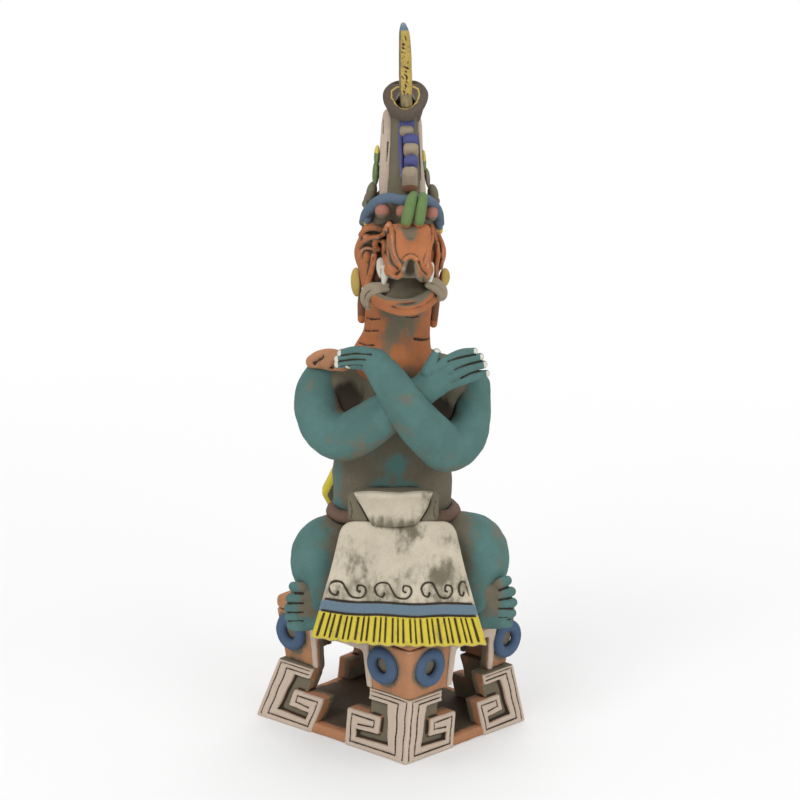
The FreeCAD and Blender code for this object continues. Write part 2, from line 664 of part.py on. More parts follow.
def build_head(torso):
    """Neck and dragon head with its snout, lower jaw, teeth and whiskers."""
    neck_form = upright("neck_form", point("Sizes.neck_across", "0", NECK_FOOT),
                        measure("Sizes.neck_half_width"), measure("Sizes.neck_half_depth"),
                        measure("Sizes.neck_height"), NECK_SHARES)
    start, spans = head_frame()
    skull = upright("head_form", start, *spans, HEAD_SHARES)
    snout_form = coil("snout_form", start, spans, measure("Sizes.snout_radius"), SNOUT_SHARES,
                      reference=FreeCAD.Vector(1, 0, 0))
    jaw_form = ellipsoid("jaw_form", "Sizes.jaw_half_width", "Sizes.jaw_half_depth", "Sizes.jaw_half_height",
                         *head_place(0.05, 0.8, 0.14))
    mouth = ellipsoid("mouth_scoop", "Sizes.jaw_half_width - Sizes.jaw_lip",
                      "Sizes.jaw_half_depth - Sizes.jaw_lip",
                      "Sizes.jaw_half_height - Sizes.jaw_lip / 2", *head_place(0.05, 0.9, 0.23))
    neck = luted("neck", neck_form, torso)
    head = luted("head", skull, neck)
    snout = luted("snout", snout_form, head)
    jaw = luted("lower_jaw", jaw_form, head, neck, mouth, snout)
    tooth, strand = measure("Sizes.tooth_radius"), measure("Sizes.whisker_radius")
    for side, sign, shift in (("left", -1, 0.4), ("right", 1, 0.62)):
        fang_shares = [(shift, 1.2, 0.5, 1.0), (shift * 0.98, 1.25, 0.4, 0.9), (shift * 0.9, 1.3, 0.3, 0.5)]
        fang = coil(f"fang_{side}", start, spans, tooth, fang_shares, mirror=sign)
        luted(f"tooth_{side}", fang, head, snout, jaw)
        whisker = coil(f"whisker_{side}_roll", start, spans, strand, WHISKER_SHARES, mirror=sign)
        luted(f"whisker_{side}", whisker, head, snout, jaw)
    return neck, head, snout


def build_ears(head, neck):
    """Ear discs on the cheeks, each with a hanging roll behind it."""
    start, spans = head_frame()
    for side, sign in (("left", -1), ("right", 1)):
        disc = doc.addObject("Part::Cylinder", f"disc_{side}")
        disc.setExpression("Radius", "Sizes.ear_disc_radius")
        disc.setExpression("Height", "Sizes.ear_disc_thick")
        disc.Placement.Rotation = FreeCAD.Rotation(FreeCAD.Vector(0, 1, 0), sign * 90)
        x, y, z = head_place(sign * 0.75, -0.1, 0.17)
        place(disc, x, y, z)
        ear = luted(f"ear_disc_{side}", disc, head)
        length = measure("Sizes.pendant_length") / spans[2]
        rise = 0.17 - 0.5 * measure("Sizes.ear_disc_radius") / spans[2]
        hang_shares = [(0.95, 0.05, rise, 0.8), (0.93, 0.05, rise - length * 0.5, 1.0),
                       (0.88, 0.05, rise - length, 0.7)]
        roll = coil(f"pendant_{side}", start, spans, measure("Sizes.pendant_radius"), hang_shares,
                    mirror=sign)
        luted(f"ear_pendant_{side}", roll, ear, head, neck)


def build_headband(head, snout):
    """Coil over the brow with three beads and the two loops of its knot."""
    start, spans = head_frame()
    band = luted("headband", coil("band_roll", start, spans, measure("Sizes.band_radius"), BAND_SHARES), head)
    loops = []
    for side, sign in (("left", -1), ("right", 1)):
        gap = sign * measure("Sizes.loop_radius")
        roll = coil(f"loop_{side}_roll", start, spans, measure("Sizes.loop_radius"), LOOP_SHARES,
                    reference=FreeCAD.Vector(1, 0, 0), offset=gap)
        loops.append(luted(f"knot_loop_{side}", roll, band, head, snout, *loops))
    for bead, shares in BEAD_SHARES.items():
        ball = doc.addObject("Part::Sphere", f"bead_{bead}")
        ball.setExpression("Radius", "Sizes.bead_radius")
        place(ball, *head_place(*shares))
        luted(f"brow_bead_{bead}", ball, head, band, *loops)
    return band


def crest_place(across, forward, rise):
    return (f"Sizes.head_across + Sizes.crest_half_width * ({across} + 0.1)",
            f"-Sizes.crest_half_depth * {forward}", f"{CREST_FOOT} + {rise} * Sizes.crest_height")


def blade(name, shares, half_depth, height, thickness):
    """Upright plate with rounded edges, from a side outline in shares of its sizes."""
    corners = [(f"{y} * Sizes.{half_depth}", f"{z} * Sizes.{height}") for y, z in shares]
    return rounded(slab(f"{name}_plate", "YZ_Plane", corners, f"Sizes.{thickness}", symmetric=True),
                   "Sizes.blade_round", lambda edge: True)


def build_crest(head, band):
    """Leaf crest: a dark core, a spine of overlapping scales, two side leaves and feathers."""
    foot = point(*crest_place(0, 0, 0))
    core_form = upright("core_form", foot, measure("Sizes.crest_half_width"),
                        measure("Sizes.crest_half_depth"), measure("Sizes.crest_height"), CREST_CORE_SHARES)
    core = luted("crest_core", core_form, head, band)
    rows = []
    for colour in ("grey", "blue"):
        blobs = []
        for number, shares in enumerate(SCALE_SHARES[colour]):
            blobs.append(ellipsoid(f"scale_{colour}_{number}", "Sizes.scale_half_width",
                                   "Sizes.scale_half_depth",
                                   "Sizes.scale_half_height", *crest_place(*shares)))
        rows.append(luted(f"crest_scales_{colour}", joined(f"scales_{colour}", blobs), core, *rows))
    build_cup(core)
    for side, sign in (("left", -1), ("right", 1)):
        leaf = blade(f"leaf_{side}", LEAF_OUTLINE_SHARES, "crest_half_depth", "crest_height", "leaf_thick")
        turn(leaf, FreeCAD.Vector(0, 1, 0), f"{-sign} * Sizes.leaf_lean")
        place(leaf, *crest_place(0.95 * sign, 0, 0.11))
        hand_in(leaf, f"crest_leaf_{side}")
        blobs = []
        for number, shares in enumerate(FEATHER_SHARES[side]):
            blobs.append(ellipsoid(f"feather_{side}_{number}", "Sizes.feather_half_width",
                                   "Sizes.feather_half_depth",
                                   "Sizes.feather_half_height", *crest_place(*shares)))
        luted(f"side_feathers_{side}", joined(f"feathers_{side}", blobs))


def build_cup(core):
    """Pinched cup that sits tilted forward on top of the crest."""
    cup = doc.addObject("PartDesign::Body", "cup")
    profile = cup.newObject("Sketcher::SketchObject", "cup_profile")
    profile.AttachmentSupport = (next(p for p in cup.Origin.OriginFeatures if p.Role == "XZ_Plane"), [""])
    profile.MapMode = "FlatFace"
    radius, wall, depth = (measure(f"Sizes.cup_{key}") for key in ("radius", "wall", "depth"))
    foot = measure("Sizes.cup_foot_radius")
    outline = [(0, 0), (foot, 0), (radius, depth), (radius - wall, depth), (foot - wall / 2, wall), (0, wall)]
    places = [FreeCAD.Vector(x, y, 0) for x, y in outline]
    for number, start in enumerate(places):
        profile.addGeometry(Part.LineSegment(start, places[(number + 1) % len(places)]), False)
    for number in range(len(places)):
        profile.addConstraint(Sketcher.Constraint("Coincident", number, 2, (number + 1) % len(places), 1))
    profile.addConstraint(Sketcher.Constraint("Coincident", 0, 1, -1, 1))
    profile.addConstraint(Sketcher.Constraint("Horizontal", 0))
    profile.addConstraint(Sketcher.Constraint("Horizontal", 2))
    profile.addConstraint(Sketcher.Constraint("Horizontal", 4))
    profile.addConstraint(Sketcher.Constraint("Vertical", 5))
    rules = [
        ("DistanceX", 1, 1, "Sizes.cup_foot_radius"), ("DistanceX", 2, 1, "Sizes.cup_radius"),
        ("DistanceY", 2, 1, "Sizes.cup_depth"), ("DistanceX", 3, 1, "Sizes.cup_radius - Sizes.cup_wall"),
        ("DistanceX", 4, 1, "Sizes.cup_foot_radius - Sizes.cup_wall / 2"),
        ("DistanceY", 4, 1, "Sizes.cup_wall"),
    ]
    for kind, line, end, expression in rules:
        rule = Sketcher.Constraint(kind, -1, 1, line, end, measure(expression))
        profile.setExpression(f"Constraints[{profile.addConstraint(rule)}]", expression)
    spin = cup.newObject("PartDesign::Revolution", "cup_spin")
    spin.Profile = profile
    spin.ReferenceAxis = (profile, ["V_Axis"])
    spin.Angle = 360
    cup.Tip = spin
    turn(cup, FreeCAD.Vector(1, 0, 0), "Sizes.cup_tilt")
    place(cup, *crest_place(0.05, 0, 0.93))
    luted("finial_cup", cup, core)


def build_plume():
    """Plume that stands in the cup."""
    plume = blade("plume", PLUME_OUTLINE_SHARES, "plume_half_depth", "plume_height", "plume_thick")
    place(plume, *crest_place(-0.05, 0.35, 1.02))
    hand_in(plume, "finial_plume")


def check_document():
    """Stop if any object failed or any shape is not a valid solid."""
    doc.recompute()
    failed = [thing.Name for thing in doc.Objects if "Invalid" in thing.State or "Error" in thing.State]
    if failed:
        raise SystemExit(f"not built: {failed}")
    for thing in handed_in:
        shape = thing.Shape
        if shape.isNull() or not shape.isValid() or not shape.Solids:
            raise SystemExit(f"{thing.Label} is not a valid solid")
        print(thing.Label, len(shape.Solids), round(shape.Volume))


build_base_foot()
wall_shell = build_base_walls()
build_studs(wall_shell)
seat = build_seat()
torso = build_torso()
arms = build_arms(torso)
build_hand("hand_left", -1, ARM_LEFT_SHARES, torso, arms)
build_hand("hand_right", 1, ARM_RIGHT_SHARES, torso, arms)
belt_ring, belt = build_belt(torso)
build_legs(torso, seat)
build_apron(torso, belt)
build_pouch(torso, belt_ring)
build_shoulder_pad(torso, arms)
neck, head, snout = build_head(torso)
build_ears(head, neck)
band = build_headband(head, snout)
build_crest(head, band)
build_plume()
check_document()

os.makedirs("parts", exist_ok=True)
for thing in handed_in:
    thing.Shape.exportStep(f"parts/{thing.Label}.step")
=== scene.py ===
import math

import bpy
import numpy as np
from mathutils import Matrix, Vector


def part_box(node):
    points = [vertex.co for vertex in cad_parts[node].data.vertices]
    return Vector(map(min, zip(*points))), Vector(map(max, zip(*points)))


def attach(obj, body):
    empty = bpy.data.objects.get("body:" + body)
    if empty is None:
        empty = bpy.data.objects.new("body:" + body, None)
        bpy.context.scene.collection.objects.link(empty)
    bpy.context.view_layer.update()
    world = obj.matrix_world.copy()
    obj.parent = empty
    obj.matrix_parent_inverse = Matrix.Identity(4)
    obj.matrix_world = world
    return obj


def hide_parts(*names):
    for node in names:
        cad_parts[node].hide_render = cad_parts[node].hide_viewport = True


# Looks of the ceramic rain god figurine. Each piece of clay is modelled as a field of
# distances in millimetres and then meshed in metres, in the same frame as the solids.
# Left and right are as seen from the front. Places marked as pixels are landmarks on
# the 800 by 800 picture that the camera below gives, and they are cast on to the clay.

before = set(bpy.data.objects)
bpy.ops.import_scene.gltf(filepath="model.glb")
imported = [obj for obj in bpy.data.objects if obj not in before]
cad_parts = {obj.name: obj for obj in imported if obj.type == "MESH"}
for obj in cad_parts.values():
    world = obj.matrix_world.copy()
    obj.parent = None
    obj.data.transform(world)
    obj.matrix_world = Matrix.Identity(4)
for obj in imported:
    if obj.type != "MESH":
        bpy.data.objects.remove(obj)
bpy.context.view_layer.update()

METRES = 0.001
EMPTY = 40.0
MARGIN = 5.0
CLEAR = 3.5
TINY = 1e-4

CAMERA_DISTANCE = 1500.0
CAMERA_RISE = math.radians(16)
CAMERA_TARGET = np.array([4.9, 0.0, 168.9])
PICTURE_CENTRE = 400
FOCAL_PIXELS = 3000.0
LENS = 135.0

SEAT_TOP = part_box("seat_slab")[1][2] / METRES
BASE_TURN = math.radians(46.4)
HALF_WIDTH = 43.15
HALF_LENGTH = 51.1
FRET_HEIGHT = 31.0
FRET_LEAN = 6.3
POST_HEIGHT = 26.0
POST_LEAN = 2.8
WALL = 9.0
SHIFT_ACROSS = 1.8
SHIFT_ALONG = -1.9
POST_WALL = 5.5
SPLAY_SHARE = 1.042
SPLAY_FORWARD_SHARE = 0.05
SPARE = 2.0
FRET_VOXEL = 0.5
WALL_VOXEL = 0.6


def camera_place():
    away = np.array([0, -math.cos(CAMERA_RISE), math.sin(CAMERA_RISE)])
    return CAMERA_TARGET + CAMERA_DISTANCE * away


def sight(pixel):
    """Unit direction of the camera's ray through a pixel."""
    across = (pixel[0] - PICTURE_CENTRE) / FOCAL_PIXELS
    up = (PICTURE_CENTRE - pixel[1]) / FOCAL_PIXELS
    sine, cosine = math.sin(CAMERA_RISE), math.cos(CAMERA_RISE)
    ray = np.array([across, cosine + up * sine, up * cosine - sine])
    return ray / np.linalg.norm(ray)


def at_depth(pixel, depth):
    """Place behind a pixel on the upright plane y = depth."""
    start, ray = camera_place(), sight(pixel)
    return start + ray * (depth - start[1]) / ray[1]


def turned(x=0, y=0, z=0):
    """Rotation matrix of a turn about x, then y, then z, in degrees."""
    matrix = np.eye(3)
    for axis, angle in enumerate((x, y, z)):
        sine, cosine = math.sin(math.radians(angle)), math.cos(math.radians(angle))
        first, second = (axis + 1) % 3, (axis + 2) % 3
        step = np.eye(3)
        step[first, first] = step[second, second] = cosine
        step[first, second], step[second, first] = -sine, sine
        matrix = step @ matrix
    return matrix


class Form:
    """A shape as its box and its function of distance."""

    def __init__(self, low, high, distance):
        self.low = np.asarray(low, float)
        self.high = np.asarray(high, float)
        self.distance = distance


def own_axes(grid, centre, turn):
    """Grid coordinates from a centre, in the shape's own turned axes."""
    dx, dy, dz = (line - middle for line, middle in zip(grid, centre))
    if turn is None:
        return dx, dy, dz
    return tuple(dx * turn[0][k] + dy * turn[1][k] + dz * turn[2][k] for k in range(3))


def blob(centre, radii, turn=None):
    """Ellipsoid of clay."""
    centre, radii = np.asarray(centre, float), np.asarray(radii, float)
    reach = radii if turn is None else np.full(3, radii.max())

    def distance(*grid):
        own = own_axes(grid, centre, turn)
        share = np.sqrt(sum((line / radius) ** 2 for line, radius in zip(own, radii)))
        slope = np.sqrt(sum((line / radius**2) ** 2 for line, radius in zip(own, radii)))
        deep = (share - 1) * radii.min()
        return np.where(share < 0.5, deep, share * (share - 1) / np.maximum(slope, TINY))

    return Form(centre - reach, centre + reach, distance)


def block(centre, half, rounding, turn=None):
    """Rounded block of clay."""
    centre, half = np.asarray(centre, float), np.asarray(half, float)
    reach = half if turn is None else np.full(3, np.linalg.norm(half))

    def distance(*grid):
        own = own_axes(grid, centre, turn)
        over = [np.abs(line) - size + rounding for line, size in zip(own, half)]
        outside = np.sqrt(sum(np.maximum(line, 0) ** 2 for line in over))
        inside = np.minimum(np.maximum(np.maximum(over[0], over[1]), over[2]), 0)
        return outside + inside - rounding

    return Form(centre - reach, centre + reach, distance)


def ring(centre, axis, radius, thickness, flat=1.0):
    """Ring of a rolled coil; flat below 1 presses it along its axis."""
    centre, axis = np.asarray(centre, float), np.asarray(axis, float)
    axis = axis / np.linalg.norm(axis)
    reach = np.full(3, radius + thickness)

    def distance(*grid):
        dx, dy, dz = own_axes(grid, centre, None)
        height = dx * axis[0] + dy * axis[1] + dz * axis[2]
        out = np.sqrt(np.maximum(dx**2 + dy**2 + dz**2 - height**2, 0)) - radius
        return np.sqrt(out**2 + (height / flat) ** 2) - thickness

    return Form(centre - reach, centre + reach, distance)


def link(start, end, start_radius, end_radius):
    """Straight tapered length of a roll."""
    way = end - start
    length = max(way @ way, TINY)

    def distance(*grid):
        dx, dy, dz = own_axes(grid, start, None)
        share = np.clip((dx * way[0] + dy * way[1] + dz * way[2]) / length, 0, 1)
        gap = np.sqrt((dx - share * way[0]) ** 2 + (dy - share * way[1]) ** 2 + (dz - share * way[2]) ** 2)
        return gap - (start_radius + (end_radius - start_radius) * share)

    reach = max(start_radius, end_radius)
    return Form(np.minimum(start, end) - reach, np.maximum(start, end) + reach, distance)


def smooth_line(rows, steps):
    """Catmull-Rom line through rows of numbers."""
    rows = np.asarray(rows, float)
    padded = np.vstack([2 * rows[0] - rows[1], rows, 2 * rows[-1] - rows[-2]])
    line = []
    for first, second, third, fourth in zip(padded, padded[1:], padded[2:], padded[3:]):
        for share in np.arange(steps) / steps:
            line.append(0.5 * (2 * second + (third - first) * share
                               + (2 * first - 5 * second + 4 * third - fourth) * share**2
                               + (3 * second - first - 3 * third + fourth) * share**3))
    line.append(rows[-1])
    return np.array(line)


def roll(points, radii, steps=4):
    """Tapered roll of clay along a smooth line through points."""
    radii = np.broadcast_to(radii, len(points))
    line = smooth_line([[*place, radius] for place, radius in zip(points, radii)], steps)
    return [link(a[:3], b[:3], max(a[3], TINY), max(b[3], TINY)) for a, b in zip(line, line[1:])]


def least(first, second, blend):
    """Union of two fields, with a fillet as wide as the blend."""
    if blend <= 0:
        return np.minimum(first, second)
    share = np.clip(0.5 + 0.5 * (second - first) / blend, 0, 1)
    return second + (first - second) * share - blend * share * (1 - share)


def most(first, second, blend):
    """Intersection of two fields, with a rounded edge as wide as the blend."""
    return -least(-first, -second, blend)


class Clay:
    """A block of space that clay is added to and cut from."""

    def __init__(self, low, high, voxel, turn=0.0):
        self.low = np.asarray(low, float)
        self.voxel = voxel
        self.turn = turn
        self.count = np.ceil((np.asarray(high, float) - self.low) / voxel).astype(int) + 1
        self.field = np.full(self.count, EMPTY, np.float32)

    def window(self, low, high):
        first = np.clip(np.floor((low - self.low) / self.voxel).astype(int), 0, self.count - 1)
        last = np.clip(np.ceil((high - self.low) / self.voxel).astype(int) + 1, first + 1, self.count)
        lines = [(self.low[k] + self.voxel * np.arange(first[k], last[k])).astype(np.float32)
                 for k in range(3)]
        return first, last, np.meshgrid(*lines, indexing="ij", sparse=True)

    def everywhere(self):
        """Grid of the whole block."""
        return self.window(self.low, self.low + self.voxel * self.count)[2]

    def lay(self, forms, reach):
        """Plain union of some forms, as the window that they fill and their field."""
        forms = forms if isinstance(forms, list) else [forms]
        low = np.min([form.low for form in forms], axis=0) - reach
        high = np.max([form.high for form in forms], axis=0) + reach
        start, end, _ = self.window(low, high)
        laid = np.full(end - start, EMPTY, np.float32)
        for form in forms:
            first, last, grid = self.window(form.low - reach, form.high + reach)
            spans = tuple(slice(a, b) for a, b in zip(first - start, last - start))
            laid[spans] = np.minimum(laid[spans], form.distance(*grid))
        return tuple(slice(a, b) for a, b in zip(start, end)), laid

    def add(self, forms, blend=1.0):
        spans, laid = self.lay(forms, MARGIN + blend)
        self.field[spans] = least(self.field[spans], laid, blend)

    def cut(self, forms, blend=0.5):
        spans, laid = self.lay(forms, blend + self.voxel * 2)
        self.field[spans] = most(self.field[spans], -laid, blend)

    def keep(self, form, blend=0.0):
        """Keep only what lies in the form."""
        kept = form.distance(*self.everywhere()).astype(np.float32)
        self.field = most(self.field, kept, blend)

    def inward(self, places):
        """Places of the world in the block's own turned axes."""
        sine, cosine = math.sin(self.turn), math.cos(self.turn)
        x = places[:, 0] * cosine + places[:, 1] * sine
        y = places[:, 1] * cosine - places[:, 0] * sine
        return np.column_stack([x, y, places[:, 2]])

    def outward(self, places):
        sine, cosine = math.sin(self.turn), math.cos(self.turn)
        x = places[:, 0] * cosine - places[:, 1] * sine
        y = places[:, 1] * cosine + places[:, 0] * sine
        return np.column_stack([x, y, places[:, 2]])

    def fullness(self, reach):
        """Share of clay in a cube round each point of the block."""
        full = np.clip(0.5 - self.field / self.voxel, 0, 1)
        span = max(1, round(reach / self.voxel))
        for axis in range(3):
            widths = [(span + 1, span) if k == axis else (0, 0) for k in range(3)]
            total = np.cumsum(np.pad(full, widths), axis=axis, dtype=np.float64)
            top = np.take(total, range(2 * span + 1, total.shape[axis]), axis=axis)
            bottom = np.take(total, range(total.shape[axis] - 2 * span - 1), axis=axis)
            full = (top - bottom) / (2 * span + 1)
        return full

    def sample(self, places, grid=None, outside=EMPTY):
        """Distances at some places of the world, or the values of another grid there."""
        grid = self.field if grid is None else grid
        found = np.full(len(places), outside)
        cell = (self.inward(places) - self.low) / self.voxel
        inside = np.all((cell >= 0) & (cell < self.count - 1), axis=1)
        cell = cell[inside]
        base = cell.astype(int)
        share = cell - base
        total = np.zeros(len(cell))
        for corner in np.ndindex(2, 2, 2):
            weight = np.prod(np.where(corner, share, 1 - share), axis=1)
            spot = base + corner
            total += weight * grid[spot[:, 0], spot[:, 1], spot[:, 2]]
        found[inside] = total
        return found


class SplayedClay(Clay):
    """Clay of the foot, which spreads out to its side corners and comes forward there."""

    def inward(self, places):
        x, y = places[:, 0], places[:, 1] + SPLAY_FORWARD_SHARE * np.abs(places[:, 0])
        return super().inward(np.column_stack([x / SPLAY_SHARE, y, places[:, 2]]))

    def outward(self, places):
        places = super().outward(places)
        x = places[:, 0] * SPLAY_SHARE
        return np.column_stack([x, places[:, 1] - SPLAY_FORWARD_SHARE * np.abs(x), places[:, 2]])


def skin(clay):
    """Vertices in millimetres and quads of the surface, one vertex in each crossed cell."""
    field = clay.field.copy()
    for axis in range(3):
        ends = np.moveaxis(field, axis, 0)
        ends[0] = np.maximum(ends[0], TINY)
        ends[-1] = np.maximum(ends[-1], TINY)
    inside = field < 0
    low, high = slice(None, -1), slice(1, None)
    filled = sum(inside[spans].astype(np.int8) for spans in
                 ((a, b, c) for a in (low, high) for b in (low, high) for c in (low, high)))
    active = (filled > 0) & (filled < 8)
    cells = np.argwhere(active)
    index = np.full(active.shape, -1, np.int32)
    index[active] = np.arange(len(cells))
    total, hits = np.zeros((len(cells), 3)), np.zeros(len(cells))
    for axis in range(3):
        others = [k for k in range(3) if k != axis]
        for corner in np.ndindex(2, 2):
            start = np.zeros(3, int)
            start[others] = corner
            end = start.copy()
            end[axis] = 1
            first, second = cells + start, cells + end
            a = field[first[:, 0], first[:, 1], first[:, 2]]
            b = field[second[:, 0], second[:, 1], second[:, 2]]
            crossed = (a < 0) != (b < 0)
            share = np.where(crossed, a / np.where(crossed, a - b, 1), 0)
            step = start + share[:, None] * (end - start)
            total += np.where(crossed[:, None], step, 0)
            hits += crossed
    places = clay.low + clay.voxel * (cells + total / hits[:, None])
    quads = []
    for axis in range(3):
        second, third = (axis + 1) % 3, (axis + 2) % 3
        spans = [slice(1, None)] * 3
        spans[axis] = slice(None, -1)
        ahead = [slice(1, None)] * 3
        here, there = inside[tuple(spans)], inside[tuple(ahead)]
        corner = np.argwhere(here != there)
        outward = here[corner[:, 0], corner[:, 1], corner[:, 2]]
        corner[:, [second, third]] += 1
        around = []
        for back_second, back_third in ((1, 1), (0, 1), (0, 0), (1, 0)):
            cell = corner.copy()
            cell[:, second] -= back_second
            cell[:, third] -= back_third
            around.append(index[cell[:, 0], cell[:, 1], cell[:, 2]])
        quad = np.column_stack(around)
        quad[~outward] = quad[~outward][:, ::-1]
        quads.append(quad)
    return clay.outward(places), np.vstack(quads)


def value_noise(places, size, seed):
    """Smooth noise from -1 to 1 with lumps as large as size."""
    cell = places / size + 1000.0 + seed * 7.3
    base = np.floor(cell).astype(np.int64)
    share = cell - base
    share = share * share * (3 - 2 * share)
    total = np.zeros(len(places))
    for corner in np.ndindex(2, 2, 2):
        spot = base + corner
        mixed = (spot[:, 0] * 73856093) ^ (spot[:, 1] * 19349663) ^ (spot[:, 2] * 83492791)
        mixed = (mixed * 2654435761 + seed) % 2147483647
        chance = ((mixed ^ (mixed >> 13)) % 10007) / 10007.0
        total += np.prod(np.where(corner, share, 1 - share), axis=1) * chance
    return total * 2 - 1


def ramp(values, low, high):
    """Smooth step from 0 at low to 1 at high."""
    share = np.clip((values - low) / (high - low), 0, 1)
    return share * share * (3 - 2 * share)


PIECES = []
SIGHT_BEFORE, SIGHT_BEHIND, SIGHT_STEP = 150, 110, 0.4
GROOVE_BLEND_SHARE = 0.3


def mould(name, clay, nodes, slot, material, paint=None, uneven=0.12):
    """Put a finished block of clay down as one piece of the model."""
    PIECES.append(dict(name=name, clay=clay, nodes=nodes, slot=slot, material=material,
                       paint=paint, uneven=uneven))


def hit(pixel, clays, sink=0.0):
    """Where the camera's ray through a pixel first meets the clay, or None."""
    start, ray = camera_place(), sight(pixel)
    steps = np.arange(CAMERA_DISTANCE - SIGHT_BEFORE, CAMERA_DISTANCE + SIGHT_BEHIND, SIGHT_STEP)
    places = start + steps[:, None] * ray
    inside = np.any([clay.sample(places) < 0 for clay in clays], axis=0)
    if not inside.any():
        return None
    return places[inside.argmax()] + sink * ray


def cast(pixels, clays, sink=0.0):
    """Places on the clay under a line of pixels; those that miss it are left out."""
    places = [hit(pixel, clays, sink) for pixel in smooth_line(pixels, 3)]
    return [place for place in places if place is not None]


def groove(clay, pixels, clays, width, sink=0.0):
    """Line incised where the picture shows it."""
    places = cast(pixels, clays, sink)
    if len(places) > 1:
        clay.cut(roll(places, width / 2, 1), width * GROOVE_BLEND_SHARE)


def strip(clay, pixels, clays, width, rise=0.3, blend=0.8):
    """Thin roll of clay pressed on where the picture shows it."""
    places = cast(pixels, clays, -rise * width)
    if len(places) > 1:
        clay.add(roll(places, width / 2, 1), blend)


def track(rows):
    """Places and radii of a line given as rows of pixel, depth and radius."""
    return [at_depth(row[:2], row[2]) for row in rows], [row[3] for row in rows]


def rolled(rows, steps=4):
    return roll(*track(rows), steps)


def room_for(forms, voxel):
    """Empty block of space just large enough for some forms."""
    low = np.min([form.low for form in forms], axis=0) - CLEAR
    high = np.max([form.high for form in forms], axis=0) + CLEAR
    return Clay(low, high, voxel)


def fitted(forms, voxel):
    """Block of clay just large enough for some forms, with the forms in it."""
    clay = room_for(forms, voxel)
    clay.add(forms, 0)
    return clay


def rope(rows, steps=4):
    """Roll of clay through rows of place and radius."""
    return roll([row[:3] for row in rows], [row[3] for row in rows], steps)


def swell(clay, masses):
    """Add ellipsoids, each given by its centre, radii and blend."""
    for centre, radii, blend in masses:
        clay.add(blob(centre, radii), blend)


def line_gap(across, up, points):
    """Distance in a face to a line of straight runs."""
    gap = EMPTY
    for start, end in zip(points, points[1:]):
        way = (end[0] - start[0], end[1] - start[1])
        share = ((across - start[0]) * way[0] + (up - start[1]) * way[1]) / (way[0] ** 2 + way[1] ** 2)
        share = np.clip(share, 0, 1)
        gap = np.minimum(gap, np.hypot(across - start[0] - share * way[0], up - start[1] - share * way[1]))
    return gap


def outline_gap(across, up, points):
    """Distance in a face to a closed outline, negative inside it."""
    inside = np.zeros(np.broadcast(across, up).shape, bool)
    for start, end in zip(points, points[1:] + points[:1]):
        if start[1] == end[1]:
            continue
        between = (start[1] > up) != (end[1] > up)
        inside ^= between & (across < (end[0] - start[0]) * (up - start[1]) / (end[1] - start[1]) + start[0])
    gap = line_gap(across, up, points + points[:1])
    return np.where(inside, -gap, gap)


# Materials

COLOURS = {
    "teal": "5a7f7b", "olive": "77705e", "dark": "3d352b", "orange": "b9754b",
    "terracotta": "bd8762", "cream": "cfbcaa", "bone": "d2c7b2", "blue": "506784", "yellow": "d6c343",
    "slate": "687c8b", "green": "6d8853", "violet": "54578a", "grey": "a3957f", "band": "617486",
    "bead": "b1796a", "cup": "5f544b", "nail": "e4dfd0", "straw": "c4a95a", "brown": "8a5f4a",
    "belt": "7f6558", "umber": "5b4d3f",
}


def linear(name):
    """Colour written as in the picture, in the light that the render works in."""
    code = COLOURS[name]
    parts = [int(code[k:k + 2], 16) / 255 for k in (0, 2, 4)]
    return (*[((part + 0.055) / 1.055) ** 2.4 for part in parts], 1.0)


class Recipe:
    """Nodes of one clay material."""

    def __init__(self, name):
        self.material = bpy.data.materials.new(name)
        self.material.use_nodes = True
        self.tree = self.material.node_tree
        self.shader = self.tree.nodes["Principled BSDF"]
        self.place = self.tree.nodes.new("ShaderNodeTexCoord").outputs["Object"]

    def feed(self, socket, value):
        if isinstance(value, bpy.types.NodeSocket):
            self.tree.links.new(value, socket)
        else:
            socket.default_value = value

    def noise(self, scale, detail, stretch=None):
        node = self.tree.nodes.new("ShaderNodeTexNoise")
        node.inputs["Scale"].default_value = scale
        node.inputs["Detail"].default_value = detail
        node.inputs["Roughness"].default_value = 0.6
        source = self.place
        if stretch:
            mapping = self.tree.nodes.new("ShaderNodeMapping")
            mapping.inputs["Scale"].default_value = stretch
            self.feed(mapping.inputs["Vector"], self.place)
            source = mapping.outputs["Vector"]
        self.feed(node.inputs["Vector"], source)
        return node.outputs["Fac"]

    def mask(self, name):
        node = self.tree.nodes.new("ShaderNodeAttribute")
        node.attribute_name = name
        return node.outputs["Fac"]

    def sum(self, first, factor, second):
        """first + factor * second."""
        node = self.tree.nodes.new("ShaderNodeMath")
        node.operation = "MULTIPLY_ADD"
        self.feed(node.inputs[0], second)
        self.feed(node.inputs[1], factor)
        self.feed(node.inputs[2], first)
        return node.outputs[0]

    def ramp(self, value, low, high):
        node = self.tree.nodes.new("ShaderNodeMapRange")
        node.interpolation_type = "SMOOTHSTEP"
        self.feed(node.inputs["Value"], value)
        node.inputs["From Min"].default_value = low
        node.inputs["From Max"].default_value = high
        return node.outputs["Result"]

    def mix(self, share, first, second, way="MIX"):
        node = self.tree.nodes.new("ShaderNodeMix")
        node.data_type = "RGBA"
        node.blend_type = way
        self.feed(node.inputs[0], share)
        self.feed(node.inputs[6], first)
        self.feed(node.inputs[7], second)
        return node.outputs[2]


